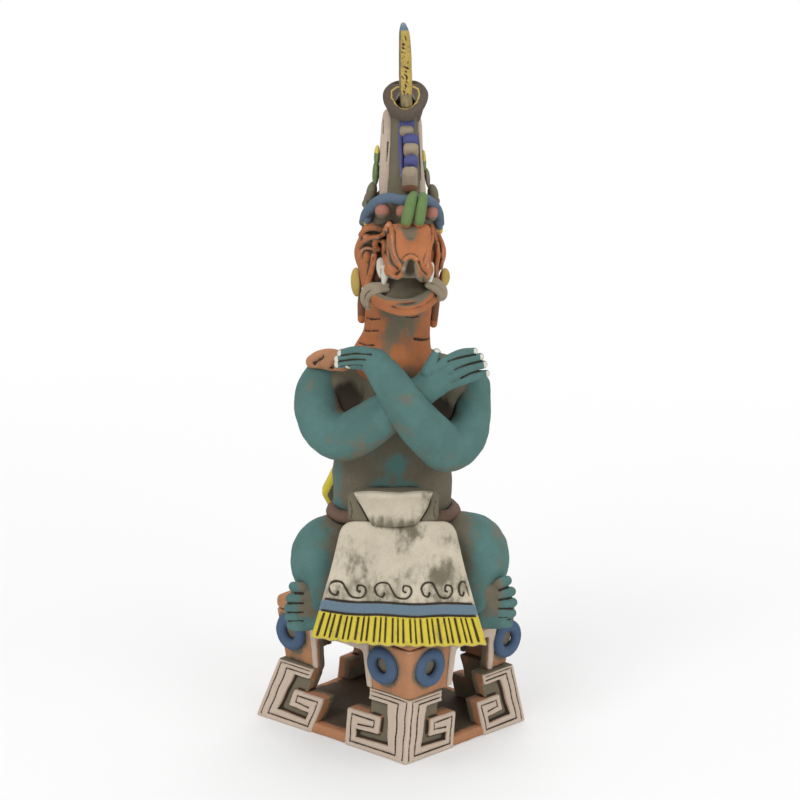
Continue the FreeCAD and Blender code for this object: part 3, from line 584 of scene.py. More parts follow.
CLOUD_SCALE = 70.0
DAB_SCALE = 320.0
SPECK_SCALE = 1100.0
GRAIN_SCALE = 3600.0
BRUSH_STRETCH = (1.0, 1.0, 0.25)
GLOSS = 0.22
SHADE_RANGE, SHADE_SHARE = (0.35, 0.65), 0.86
PATCH_AND_SHADE_GAIN, CLOUD_GAIN = 1.1, 1.2
SECOND_COLOUR_LOW, SECOND_COLOUR_HIGH = 1.75, 2.35
SLIP_AND_SHADE_GAIN, SLIP_AND_SHADE_RANGE = 0.5, (0.6, 0.9)
TINT_RANGE = (0.5, 0.9)
RUB_GAIN, RUB_RANGE, PALE_SHARE = 0.6, (0.7, 1.5), 0.2
POOL_AND_SHADE_GAIN, POOL_AND_SHADE_RANGE = 0.5, (0.5, 1.05)
TONE_RANGE, TONE_SHARE = (0.2, 0.8), 0.13
ROUGH_LEAST, ROUGH_GAIN = 0.7, 0.25
BUMP_STRENGTH, BUMP_DISTANCE = 0.5, 0.00035
GRAIN_GAIN = 0.8


def painted(name, ground, second="olive", third="cream", wash_and_shade="dark", wear_and_shade=0.35, tint=None):
    """Matte cold paint brushed over fired clay, with dark colour washed into the hollows and painted shade in
    creases, wide hollows and between pieces.
    """
    recipe = Recipe(name)
    cloud = recipe.noise(CLOUD_SCALE, 5)
    dab = recipe.noise(DAB_SCALE, 5, BRUSH_STRETCH)
    speck = recipe.noise(SPECK_SCALE, 4)
    grain = recipe.noise(GRAIN_SCALE, 3)
    darker = [part * SHADE_SHARE for part in linear(ground)]
    shade = recipe.mix(recipe.ramp(cloud, *SHADE_RANGE), linear(ground), darker)
    # Patches of the second colour: olive paint, and on some pieces painted shade on undersides, inner walls
    # and sides turned from the light.
    second_colour_share = recipe.sum(recipe.sum(recipe.mask("patch_and_shade"), PATCH_AND_SHADE_GAIN, dab), CLOUD_GAIN, cloud)
    # Wide hollows round each point take the second colour too: painted shade.
    second_colour_share = recipe.sum(second_colour_share, 1.0, recipe.mask("cavity_shade"))
    colour = recipe.mix(recipe.ramp(second_colour_share, SECOND_COLOUR_LOW - wear_and_shade, SECOND_COLOUR_HIGH - wear_and_shade), shade, linear(second))
    # The third colour goes on as painted bands, borders and tips, and on the torso as painted shade.
    slip_and_shade = recipe.sum(recipe.mask("slip_and_shade"), SLIP_AND_SHADE_GAIN, dab)
    colour = recipe.mix(recipe.ramp(slip_and_shade, *SLIP_AND_SHADE_RANGE), colour, linear(third))
    if tint:
        stripe = recipe.mix(recipe.ramp(dab, *TINT_RANGE), linear(tint), linear(second))
        colour = recipe.mix(recipe.mask("tint"), colour, stripe)
    rubbed = recipe.sum(recipe.mask("edge"), RUB_GAIN, speck)
    pale = recipe.mix(PALE_SHARE, colour, linear("nail"))
    colour = recipe.mix(recipe.ramp(rubbed, *RUB_RANGE), colour, pale)
    # Dark colour washed into the incised lines, and painted shade in creases and where pieces meet.
    pooled_and_shaded = recipe.sum(recipe.mask("wash_and_shade"), POOL_AND_SHADE_GAIN, dab)
    colour = recipe.mix(recipe.ramp(pooled_and_shaded, *POOL_AND_SHADE_RANGE), colour, linear(wash_and_shade))
    tone = recipe.ramp(speck, *TONE_RANGE)
    colour = recipe.mix(tone, colour, recipe.mix(TONE_SHARE, colour, linear("dark")))
    recipe.feed(recipe.shader.inputs["Base Color"], colour)
    recipe.feed(recipe.shader.inputs["Roughness"], recipe.sum(ROUGH_LEAST, ROUGH_GAIN, speck))
    recipe.shader.inputs["Specular IOR Level"].default_value = GLOSS
    bump = recipe.tree.nodes.new("ShaderNodeBump")
    bump.inputs["Strength"].default_value = BUMP_STRENGTH
    bump.inputs["Distance"].default_value = BUMP_DISTANCE
    recipe.feed(bump.inputs["Height"], recipe.sum(recipe.sum(grain, GRAIN_GAIN, speck), 1.0, dab))
    recipe.feed(recipe.shader.inputs["Normal"], bump.outputs["Normal"])
    return recipe.material


MATERIALS = {
    "teal": painted("clay_teal", "teal", "olive", "nail", "dark", 0.2),
    # The torso's dark third colour is painted shade in the hollows beside the chest.
    "torso": painted("clay_torso", "olive", "teal", "dark", "dark", 0.25),
    "neck": painted("clay_neck", "orange", "olive", "cream", "dark", 0.35),
    "face": painted("clay_face", "orange", "olive", "nail", "umber", 0.25),
    "fret": painted("clay_fret", "terracotta", "olive", "cream", "dark", 0.3),
    "wall": painted("clay_wall", "terracotta", "olive", "cream", "dark", 0.3),
    # The floor's dark brown second colour is painted shade inside the base.
    "floor": painted("clay_floor", "terracotta", "umber", "cream", "dark", 0.4),
    "ring": painted("clay_ring", "blue", "terracotta", "olive", "dark", 0.1),
    "apron": painted("clay_apron", "bone", "olive", "slate", "dark", 0.35, "yellow"),
    "flap": painted("clay_flap", "bone", "olive", "bone", "dark", 0.3),
    "belt": painted("clay_belt", "belt", "olive", "bone", "dark", 0.3),
    "pouch": painted("clay_pouch", "olive", "dark", "yellow", "dark", 0.2),
    "pad": painted("clay_pad", "terracotta", "olive", "yellow", "dark", 0.5),
    "bone": painted("clay_bone", "cream", "olive", "nail", "dark", 0.25),
    "tooth": painted("clay_tooth", "nail", "cream", "nail", "olive", 0.3),
    "whisker": painted("clay_whisker", "grey", "olive", "cream", "dark", 0.3),
    "ear": painted("clay_ear", "straw", "brown", "brown", "dark", 0.1),
    "pendant": painted("clay_pendant", "brown", "olive", "orange", "dark", 0.3),
    "band": painted("clay_band", "band", "olive", "yellow", "dark", 0.25),
    "bead": painted("clay_bead", "bead", "olive", "cream", "dark", 0.25),
    "green": painted("clay_green", "green", "olive", "orange", "dark", 0.2),
    "violet": painted("clay_violet", "violet", "slate", "olive", "dark", 0.1),
    "grey": painted("clay_grey", "grey", "olive", "brown", "dark", 0.3),
    "core": painted("clay_core", "olive", "dark", "cream", "dark", 0.3),
    "feather": painted("clay_feather", "green", "olive", "yellow", "dark", 0.2),
    "cup": painted("clay_cup", "cup", "olive", "straw", "dark", 0.35),
    "plume": painted("clay_plume", "straw", "olive", "slate", "dark", 0.15),
}


# Openwork base, in its own turned frame

CORNER_SIGNS = {"front": (-1, -1), "left": (-1, 1), "right": (1, -1), "back": (1, 1)}
FRET_WIDTHS = {"front": (41.0, 34.0), "left": (38.0, 30.0), "right": (38.0, 30.0), "back": (38.0, 30.0)}
STUD_HEIGHTS = {"front": 45.7, "left": 47.2, "right": 45.3, "back": 45.0}
STUD_RADIUS = 6.9
STUD_COIL = 2.95
FLOOR_THICK = 5.0
FLOOR_INSET = 0.7
STUD_INSETS = {"front": (17.8, 13.6), "left": (10.7, 13.1), "right": (13.1, 5.9), "back": (13.1, 13.1)}
STEP_SHARES = {"front": (0.67, 0.58), "left": (0.64, 0.58), "right": (0.74, 0.58), "back": (0.75, 0.58)}
RECESS_SHARES = [
    (1.2, 0.8), (0.36, 0.82), (0.31, 0.19), (0.84, 0.16),
    (0.84, 0.29), (0.47, 0.32), (0.47, 0.58), (1.2, 0.58),
]
FRET_LINE_SHARES = [
    [(1.02, 0.93), (0.07, 0.95), (0.07, 0.04)],
    [(1.02, 0.87), (0.2, 0.88), (0.19, 0.09), (0.92, 0.08),
     (0.92, 0.5), (0.56, 0.5), (0.56, 0.4), (0.8, 0.37)],
]
RECESS_DEPTH = 2.5
LINE_RADIUS = 0.72
WOBBLE = 0.18
WOBBLE_LONG, WOBBLE_SHORT = 0.55, 0.5
CORNER_ROUND, INNER_ROUND, END_ROUND, TOP_ROUND, FOOT_ROUND = 1.6, 1.0, 1.4, 1.2, 0.6
STEP_ROUND, STEP_CUT_ROUND = 0.8, 1.0
RECESS_ROUND, RECESS_CUT_ROUND = 0.6, 0.7
LINE_CUT_ROUND = 0.4
STUD_FLAT = 0.85


def foot_depths(grid, sign_x, sign_y):
    """Depths below the long and the short leaning outer face of a corner of the foot."""
    x, y, z = grid
    rise = z / FRET_HEIGHT
    long_face = HALF_WIDTH - (FRET_LEAN - sign_x * SHIFT_ACROSS) * rise - sign_x * x
    short_face = HALF_LENGTH - (FRET_LEAN - sign_y * SHIFT_ALONG) * rise - sign_y * y
    return long_face, short_face


def wall_depths(grid):
    x, y, z = grid
    inset = FRET_LEAN - POST_LEAN * (z - FRET_HEIGHT) / POST_HEIGHT
    return HALF_WIDTH - inset - np.abs(x - SHIFT_ACROSS), HALF_LENGTH - inset - np.abs(y - SHIFT_ALONG)


def corner_body(grid, corner):
    """Folded corner slab of the foot, before its fret is cut."""
    sign_x, sign_y = CORNER_SIGNS[corner]
    long_width, short_width = FRET_WIDTHS[corner]
    deep_long, deep_short = foot_depths(grid, sign_x, sign_y)
    body = most(-deep_long, -deep_short, CORNER_ROUND)
    body = most(body, np.minimum(deep_long, deep_short) - WALL, INNER_ROUND)
    body = most(body, most(deep_long - short_width, deep_short - long_width, 0), END_ROUND)
    body = most(body, grid[2] - FRET_HEIGHT, TOP_ROUND)
    return most(body, -grid[2], FOOT_ROUND)


def fret_faces(grid, corner):
    """For the two faces of a corner: place along the face, height, depth and the fret's width."""
    sign_x, sign_y = CORNER_SIGNS[corner]
    long_width, short_width = FRET_WIDTHS[corner]
    deep_long, deep_short = foot_depths(grid, sign_x, sign_y)
    bend_long = WOBBLE * np.sin(grid[2] * WOBBLE_LONG + sign_x)
    bend_short = WOBBLE * np.sin(grid[2] * WOBBLE_SHORT + sign_y * 2)
    return [(deep_short + bend_long, grid[2], deep_long, long_width),
            (deep_long + bend_short, grid[2], deep_short, short_width)]


def scaled(shares, width):
    return [(share[0] * width, share[1] * FRET_HEIGHT) for share in shares]


def build_fret(corner):
    sign_x, sign_y = CORNER_SIGNS[corner]
    long_width, short_width = FRET_WIDTHS[corner]
    ends_x = sorted([sign_x * (HALF_WIDTH + SPARE), sign_x * (HALF_WIDTH - short_width - 2 * SPARE)])
    ends_y = sorted([sign_y * (HALF_LENGTH + SPARE), sign_y * (HALF_LENGTH - long_width - 2 * SPARE)])
    low, high = (ends_x[0], ends_y[0], -SPARE), (ends_x[1], ends_y[1], FRET_HEIGHT + SPARE)
    clay = SplayedClay(low, high, FRET_VOXEL, BASE_TURN)
    grid = clay.everywhere()
    field = corner_body(grid, corner)
    for along, up, deep, width in fret_faces(grid, corner):
        across_share, rise_share = STEP_SHARES[corner]
        step = most(across_share * width - along, rise_share * FRET_HEIGHT - up, STEP_ROUND)
        field = most(field, -step, STEP_CUT_ROUND)
        recess = outline_gap(along, up, scaled(RECESS_SHARES, width))
        recess = most(recess, deep - RECESS_DEPTH, RECESS_ROUND)
        field = most(field, -recess, RECESS_CUT_ROUND)
        for shares in FRET_LINE_SHARES:
            line = np.hypot(line_gap(along, up, scaled(shares, width)), deep) - LINE_RADIUS
            field = most(field, -line, LINE_CUT_ROUND)
    clay.field = np.maximum(field, -EMPTY).astype(np.float32)

    def paint(places, normals):
        own = clay.inward(places)
        grid = (own[:, 0], own[:, 1], own[:, 2])
        slip_and_shade, olive = np.zeros(len(own)), np.zeros(len(own))
        for along, up, deep, width in fret_faces(grid, corner):
            inside = outline_gap(along, up, scaled(RECESS_SHARES, width))
            slip_and_shade = np.maximum(slip_and_shade, ramp(-np.abs(deep), -1.5, -0.9) * ramp(inside, -0.9, -0.2))
            bottom = ramp(-np.abs(deep - RECESS_DEPTH), -1.2, -0.6)
            olive = np.maximum(olive, ramp(-inside, 0.2, 1.0) * bottom)
        top = ramp(own[:, 2], FRET_HEIGHT - 1.0, FRET_HEIGHT - 0.3)
        inner = np.minimum(*foot_depths(grid, sign_x, sign_y))
        # The inner side of the wall, inside the base, is painted olive: painted shade. The top is olive too.
        olive = np.maximum.reduce([olive, top * 0.9, ramp(inner, 3.0, 7.0) * 0.8])
        return dict(slip_and_shade=slip_and_shade * (1 - top), patch_and_shade=olive)

    mould(f"fret_{corner}", clay, [f"fret_corner_{corner}"], "cream", "fret", paint, 0.15)


WINDOW_TOP = 50.0
FRAME_BORDER = 3.5
LONG_WINDOW = 17.5
SHORT_WINDOW = 13.5
SHORT_CENTRE = 9.0
FRAME_RISE = 0.6
WALL_SPARE = 3.0
WALL_CORNER_ROUND, WALL_INNER_ROUND, WALL_EDGE_ROUND = 4.0, 1.0, 0.3
WALL_OVER, WALL_SINK = 0.2, 0.3
POST_GAP, POST_ROUND = 0.1, 0.8
FRAME_ROUND, WINDOW_FLARE, WINDOW_ROUND, WINDOW_CUT_ROUND = 0.8, 0.06, 2.0, 1.0
RING_SHADOW_FAR, RING_SHADOW_NEAR = 14.5, 10.0
WINDOW_SIDES = [("front_left", 0, -1), ("back_right", 0, 1), ("front_right", 1, -1), ("back_left", 1, 1)]


def window_gaps(grid):
    """Gaps along the wall from the middle of the long and the short windows."""
    return np.abs(grid[1]), np.abs(grid[0] - SHORT_CENTRE)


def wall_shell(grid, rise=0.0):
    deep_long, deep_short = wall_depths(grid)
    body = most(-deep_long - rise, -deep_short - rise, WALL_CORNER_ROUND)
    body = most(body, np.minimum(deep_long, deep_short) - POST_WALL, WALL_INNER_ROUND)
    body = most(body, grid[2] - FRET_HEIGHT - POST_HEIGHT - WALL_OVER, WALL_EDGE_ROUND)
    return most(body, FRET_HEIGHT - WALL_SINK - grid[2], WALL_EDGE_ROUND)


def wall_clay():
    reach = (HALF_WIDTH + SPARE, HALF_LENGTH + SPARE)
    low = (-reach[0], -reach[1], FRET_HEIGHT - WALL_SPARE)
    clay = Clay(low, (*reach, FRET_HEIGHT + POST_HEIGHT + WALL_SPARE), WALL_VOXEL, BASE_TURN)
    return clay, clay.everywhere()


def shadow_of_rings(places, corner):
    """Painted shadow: dark colour round and inside the rings of a corner."""
    dark = np.zeros(len(places))
    for centre, _ in stud_places(corner):
        gap = np.linalg.norm(places - centre, axis=1)
        dark = np.maximum(dark, ramp(-gap, -RING_SHADOW_FAR, -RING_SHADOW_NEAR))
    return dark


def build_post(corner):
    sign_x, sign_y = CORNER_SIGNS[corner]
    clay, grid = wall_clay()
    body = wall_shell(grid)
    body = most(body, LONG_WINDOW + FRAME_BORDER + POST_GAP - sign_y * grid[1], POST_ROUND)
    from_short = sign_x * (grid[0] - SHORT_CENTRE)
    body = most(body, SHORT_WINDOW + FRAME_BORDER + POST_GAP - from_short, POST_ROUND)
    clay.field = body.astype(np.float32)

    def paint(places, normals):
        own = clay.inward(places)
        inner = np.minimum(*wall_depths((own[:, 0], own[:, 1], own[:, 2])))
        low = ramp(-own[:, 2], -FRET_HEIGHT - 5, -FRET_HEIGHT) * 0.35
        # The inner faces of the wall, inside the base, and the clay round the rings are painted olive:
        # painted shade. The foot of the wall has some olive too.
        olive = np.maximum.reduce([ramp(inner, 3, 7) * 0.8, shadow_of_rings(own, corner) * 0.75, low])
        return dict(patch_and_shade=olive)

    mould(f"post_{corner}", clay, [f"corner_post_{corner}"], "terracotta", "wall", paint, 0.25)


def build_window(side, axis, sign):
    clay, grid = wall_clay()
    gap = window_gaps(grid)[0 if axis == 0 else 1]
    half = LONG_WINDOW if axis == 0 else SHORT_WINDOW
    body = most(wall_shell(grid, FRAME_RISE), gap - half - FRAME_BORDER, FRAME_ROUND)
    body = most(body, -sign * (grid[axis] - (SHIFT_ACROSS, SHIFT_ALONG)[axis]), 0)
    sides = gap - half + WINDOW_FLARE * (grid[2] - FRET_HEIGHT)
    opening = most(sides, grid[2] - WINDOW_TOP, WINDOW_ROUND)
    clay.field = most(body, -opening, WINDOW_CUT_ROUND).astype(np.float32)

    def paint(places, normals):
        own = clay.inward(places)
        deep = wall_depths((own[:, 0], own[:, 1], own[:, 2]))[axis]
        border = ramp(-own[:, 2], -WINDOW_TOP - 5.5, -WINDOW_TOP - 4.0)
        # Cream on the raised border; deeper into the opening the clay is painted olive: painted shade.
        return dict(slip_and_shade=ramp(-np.abs(deep + FRAME_RISE), -1.3, -0.7) * border, patch_and_shade=ramp(deep, 0.8, 2.5))

    mould(f"window_{side}", clay, [f"window_frame_{side}"], "cream", "wall", paint, 0.2)


def stud_places(corner):
    """Centres and axes of the two rings of a corner, in the base's own frame."""
    sign_x, sign_y = CORNER_SIGNS[corner]
    height = STUD_HEIGHTS[corner]
    inset = FRET_LEAN - POST_LEAN * (height - FRET_HEIGHT) / POST_HEIGHT
    from_long, from_short = STUD_INSETS[corner]
    proud = STUD_COIL / 3
    return [
        (np.array([sign_x * (HALF_WIDTH - inset + proud) + SHIFT_ACROSS,
                   sign_y * (HALF_LENGTH - inset - from_long) + SHIFT_ALONG, height]), (1, 0, 0)),
        (np.array([sign_x * (HALF_WIDTH - inset - from_short) + SHIFT_ACROSS,
                   sign_y * (HALF_LENGTH - inset + proud) + SHIFT_ALONG, height]), (0, 1, 0)),
    ]


def build_studs(corner):
    forms = [ring(centre, axis, STUD_RADIUS, STUD_COIL, STUD_FLAT) for centre, axis in stud_places(corner)]
    low = np.min([form.low for form in forms], axis=0) - SPARE
    high = np.max([form.high for form in forms], axis=0) + SPARE
    clay = Clay(low, high, WALL_VOXEL, BASE_TURN)
    clay.add(forms, 0)
    mould(f"rings_{corner}", clay, [f"ring_studs_{corner}"], "blue", "ring", None, 0.3)


SEAT_HALF_THICK = 4.0
SEAT_ROUNDING = 3.0
SEAT_SPARE = 3.0
SEAT_VOXEL = 1.0
FLOOR_SPARE = 3.0
FLOOR_VOXEL = 0.9
FLOOR_ROUND, FLOOR_FOOT_ROUND = 0.8, 0.5


def build_seat_and_floor():
    reach = (HALF_WIDTH + SPARE, HALF_LENGTH + SPARE)
    inset = FRET_LEAN - POST_LEAN
    bottom = SEAT_TOP - 2 * SEAT_HALF_THICK - SEAT_SPARE
    seat = Clay((-reach[0], -reach[1], bottom), (*reach, SEAT_TOP + SEAT_SPARE), SEAT_VOXEL, BASE_TURN)
    centre = (SHIFT_ACROSS, SHIFT_ALONG, SEAT_TOP - SEAT_HALF_THICK)
    half = (HALF_WIDTH - inset, HALF_LENGTH - inset, SEAT_HALF_THICK)
    seat.add(block(centre, half, SEAT_ROUNDING), 0)
    mould("seat", seat, ["seat_slab"], "terracotta", "wall", None, 0.4)
    top = (*reach, FLOOR_THICK + FLOOR_SPARE)
    floor = SplayedClay((-reach[0], -reach[1], -SPARE), top, FLOOR_VOXEL, BASE_TURN)
    grid = floor.everywhere()
    body = grid[2] - FLOOR_THICK
    for sign_x, sign_y in CORNER_SIGNS.values():
        deep_long, deep_short = foot_depths(grid, sign_x, sign_y)
        body = most(body, FLOOR_INSET - np.minimum(deep_long, deep_short), FLOOR_ROUND)
    floor.field = most(body, -grid[2], FLOOR_FOOT_ROUND).astype(np.float32)

    def paint(places, normals):
        own = floor.inward(places)
        grid = (own[:, 0], own[:, 1], own[:, 2])
        inner = np.min([np.minimum(*foot_depths(grid, *signs)) for signs in CORNER_SIGNS.values()], axis=0)
        # The floor inside the base, away from the outer faces, is painted dark brown: painted shade.
        return dict(patch_and_shade=ramp(inner, 2.0, 7.0) * 0.9)

    mould("floor_slab", floor, ["base_floor"], "terracotta", "floor", paint, 0.3)


def build_base():
    for corner in CORNER_SIGNS:
        build_fret(corner)
        build_post(corner)
        build_studs(corner)
    for side, axis, sign in WINDOW_SIDES:
        build_window(side, axis, sign)
    build_seat_and_floor()


# Body of the figure. Rows are pixel across, pixel down, depth and radius.

ARM_LEFT_ROWS = [
    (322, 375, -2, 8.6), (316.5, 391, -5, 10.2), (318, 411, -9, 11.6), (327, 429, -14, 12.1),
    (345, 437, -20, 12.0), (366, 427, -26, 11.6), (390, 411, -31, 10.4), (409, 399, -32, 9.0),
    (424, 390, -31, 7.8),
]
ARM_RIGHT_ROWS = [
    (474, 386, -2, 8.0), (473.5, 402, -5, 8.8), (470.5, 424, -9, 9.8), (461.5, 441, -16, 11.0),
    (446, 448, -24, 11.8), (430, 435, -33, 11.5), (412.5, 415, -39, 10.8), (397, 393, -42, 9.4),
    (385, 375, -41, 8.0), (376, 365, -38, 6.6),
]
FINGERS_RIGHT_ROWS = [
    [(380, 357, -40, 2.4), (370, 352.5, -39, 2.5), (356, 351, -36, 2.5), (341, 353, -30, 1.9)],
    [(378, 361, -41, 2.5), (366, 357, -40, 2.7), (354, 356.5, -36, 2.7), (338, 358.8, -30, 2.0)],
    [(376, 366, -41, 2.5), (364, 362.5, -39, 2.7), (353, 362, -36, 2.6), (338, 364.5, -30, 1.9)],
    [(376, 369, -39, 2.2), (368, 367, -38, 2.2), (359, 365.5, -36, 2.0), (350, 365.5, -33, 1.8)],
]
FINGERS_LEFT_ROWS = [
    [(434, 370, -33, 2.7), (446, 361.5, -31, 2.7), (461, 354, -26, 2.5), (474, 351.5, -21, 1.9)],
    [(440, 375, -33, 2.8), (452, 367, -31, 2.8), (467, 360, -25, 2.6), (480, 357, -19, 2.0)],
    [(444, 380, -33, 2.8), (457, 373.5, -30, 2.8), (471, 367.5, -24, 2.6), (483.5, 364.5, -18, 2.0)],
    [(446, 386, -32, 2.7), (460, 380.5, -29, 2.7), (474, 376, -23, 2.5), (486, 373.5, -17, 1.9)],
]
THUMB_LEFT_ROWS = [(427, 372, -33, 3.0), (432, 362, -32, 2.8), (436.5, 352.5, -29, 2.1)]
PALM_RIGHT = ((375, 361), -37, (6.0, 5.2, 5.6))
PALM_LEFT = ((436, 378), -30, (8.0, 4.8, 7.4))
WRIST_LEFT_ROWS = [(420, 392.5, -31.2, 7.9), (429, 386.5, -31, 7.4), (439, 380, -30, 6.4)]
WRIST_RIGHT_ROWS = [(388, 380, -41.5, 8.5), (380, 369, -39.5, 7.4), (374, 362, -38, 5.8)]
KNUCKLE_LINES = {
    "right": [[(341, 355.6), (355, 353.6), (371, 354.6)], [(339, 361.4), (353, 359.6), (365, 360)],
              [(341, 366.8), (354, 365.6), (362, 366)]],
    "left": [[(448, 361.5), (460, 357.6), (476, 354.4)], [(455, 370), (467, 364.5), (481.5, 361)],
             [(461, 378), (472, 372.5), (485, 369)]],
}
NAIL_REACH = 1.9
NAIL_SHIFT = 1.5
NAIL_FORWARD = 1.2
THUMB_NAIL_SHIFT = (1, -3)
ARM_VOXEL = 0.75
HAND_VOXEL = 0.45
WRIST_BLEND = 4.0
FINGER_BLEND = 0.7
KNUCKLE_WIDTH = 1.1


MARK_CORE_SHARE = 0.7


def mark_gap(places, spots, reach):
    """Mask that fades out at a reach from any of the spots."""
    near = np.zeros(len(places))
    for spot in spots:
        gap = np.linalg.norm(places - spot, axis=1)
        near = np.maximum(near, ramp(-gap, -reach, -reach * MARK_CORE_SHARE))
    return near


def build_arm(side, rows, fingers, palm, wrist, thumb):
    arm = fitted(rolled(rows, 5), ARM_VOXEL)
    lines = [rolled(row) for row in fingers] + ([rolled(thumb)] if thumb else [])
    pixel, depth, radii = palm
    palm_form = blob(at_depth(pixel, depth), radii)
    hand = room_for([form for line in lines for form in line] + [palm_form] + rolled(wrist), HAND_VOXEL)
    hand.add(palm_form, 0)
    hand.add(rolled(wrist), WRIST_BLEND)
    for line in lines:
        hand.add(line, FINGER_BLEND)
    for pixels in KNUCKLE_LINES[side]:
        groove(hand, pixels, [hand], KNUCKLE_WIDTH)
    outward = -NAIL_SHIFT if side == "right" else NAIL_SHIFT
    tips = [at_depth((row[-1][0] + outward, row[-1][1]), row[-1][2] - NAIL_FORWARD) for row in fingers]
    if thumb:
        pixel = (thumb[-1][0] + THUMB_NAIL_SHIFT[0], thumb[-1][1] + THUMB_NAIL_SHIFT[1])
        tips.append(at_depth(pixel, thumb[-1][2] - NAIL_FORWARD))

    def paint_hand(places, normals):
        front = ramp(-normals[:, 1], 0.0, 0.5)
        return dict(slip_and_shade=mark_gap(places, tips, NAIL_REACH) * front,
                    patch_and_shade=ramp(value_noise(places, 7, 3), 0.2, 0.8) * 0.4)

    def paint_arm(places, normals):
        # Undersides of the arm are painted olive: painted shade. The blots are mottled paint.
        under = ramp(-normals[:, 2], 0.1, 0.9) * 0.75
        blots = ramp(value_noise(places, 9, 5), 0.0, 0.8) * 0.58
        return dict(patch_and_shade=np.maximum(under, blots))

    mould(f"arm_{side}_clay", arm, [f"arm_{side}"], "teal", "teal", paint_arm, 0.5)
    mould(f"hand_{side}_clay", hand, [f"hand_{side}"], "teal", "teal", paint_hand, 0.12)


LEG_ROWS = {
    "left": [(-10, 4, 88, 17), (-24, -5, 92, 18), (-32.5, -12, 93.5, 16.2), (-35.5, -18, 87, 14.0),
             (-34, -23, 79, 11.0), (-36, -26, 73, 8.5)],
    "right": [(18, 4, 88, 17), (32, -5, 93, 18.2), (42, -12, 95, 16.6), (45, -18, 88, 14.0),
              (42.5, -23, 79.5, 11.0), (44.5, -26, 73, 8.5)],
}
SOLE = {"left": ((309, 607), -28, (8.6, 5.2, 11.8)), "right": ((491, 605), -28, (8.6, 5.2, 12.2))}
TOE_SHIFT = {"left": 1.5, "right": -1.5}
TOE_ROWS = {
    "left": [[(306, 588.5, -30, 2.4), (299, 587.5, -31, 2.8), (292, 586.5, -29, 2.5)],
             [(306, 598.5, -31, 2.4), (297, 598.5, -32, 2.8), (289, 598.5, -29, 2.5)],
             [(306, 608, -31, 2.4), (296, 608, -32, 2.8), (287.5, 608, -29, 2.5)],
             [(306, 617, -31, 2.4), (296, 617, -32, 2.8), (288, 617, -29, 2.5)],
             [(306, 625.5, -30, 2.4), (297, 625.5, -31, 2.8), (290, 625.5, -29, 2.5)]],
    "right": [[(496, 587, -30, 2.4), (502, 583.5, -31, 2.8), (508.5, 580.5, -29, 2.5)],
              [(496, 596, -31, 2.4), (504, 593.5, -32, 2.8), (512.5, 591.5, -29, 2.5)],
              [(496, 605, -31, 2.4), (505, 603.5, -32, 2.8), (514, 602.5, -29, 2.5)],
              [(496, 614, -31, 2.4), (504, 613.5, -32, 2.8), (513, 613, -29, 2.5)],
              [(496, 622, -30, 2.4), (502, 622.5, -31, 2.8), (509.5, 623, -29, 2.5)]],
}
TOE_LINES = {
    "left": [[(290, 593), (303, 593.5)], [(288, 603.3), (303, 603.3)], [(287.5, 612.5), (303, 612.5)],
             [(288.5, 621.3), (303, 621.3)]],
    "right": [[(512, 585.5), (499, 590.5)], [(514, 597), (499, 600)], [(514.5, 607.8), (499, 609)],
              [(512.5, 618), (499, 618)]],
}
INNER_SPAN = {"left": (-45.0, -27.0), "right": (53.0, 34.0)}
LEG_VOXEL = 0.8
LEG_REACH = 60
WIDE_REACH = 80
SEAT_BLEND = 1.0
SOLE_ROUNDING = 5.0
ANKLE_RADII = (9.0, 6.0)
ANKLE_BLEND = 3.0
TOE_BLEND = 1.4
TOE_LINE_WIDTH = 1.2


def build_leg(side):
    rows = LEG_ROWS[side]
    leg = fitted(rope(rows, 5), LEG_VOXEL)
    leg.keep(block((0, 0, SEAT_TOP + LEG_REACH), (WIDE_REACH, WIDE_REACH, LEG_REACH), 0), SEAT_BLEND)
    pixel, depth, radii = SOLE[side]
    middle = at_depth(pixel, depth)
    sole = block(middle, radii, SOLE_ROUNDING)
    ankle = roll([rows[-2][:3], middle], ANKLE_RADII, 3)
    shift = TOE_SHIFT[side]
    toes = [rolled([(row[0] + shift, *row[1:]) for row in toe], 3) for toe in TOE_ROWS[side]]
    foot = room_for([sole] + [form for toe in toes for form in toe] + ankle, HAND_VOXEL)
    foot.add(sole, 0)
    foot.add(ankle, ANKLE_BLEND)
    for toe in toes:
        foot.add(toe, TOE_BLEND)
    for pixels in TOE_LINES[side]:
        groove(foot, pixels, [foot], TOE_LINE_WIDTH)
    outer, inner = INNER_SPAN[side]

    def paint_leg(places, normals):
        thigh = np.clip((places[:, 0] - outer) / (inner - outer), 0, 1) * ramp(-places[:, 1], -4, 6)
        blots = ramp(value_noise(places, 12, 8), -0.3, 0.7) * 0.62
        return dict(patch_and_shade=np.maximum(thigh * 0.95, blots))

    def paint_foot(places, normals):
        out = np.abs(places[:, 0] - middle[0])
        instep = ramp(-out, -9, -3) * ramp(places[:, 2], 60, 68)
        return dict(patch_and_shade=instep * 0.85)

    mould(f"leg_{side}_clay", leg, [f"leg_{side}"], "teal", "teal", paint_leg, 0.6)
    mould(f"foot_{side}_clay", foot, [f"foot_{side}"], "teal", "teal", paint_foot, 0.15)


# Masses of a body are rows of centre, radii and blend

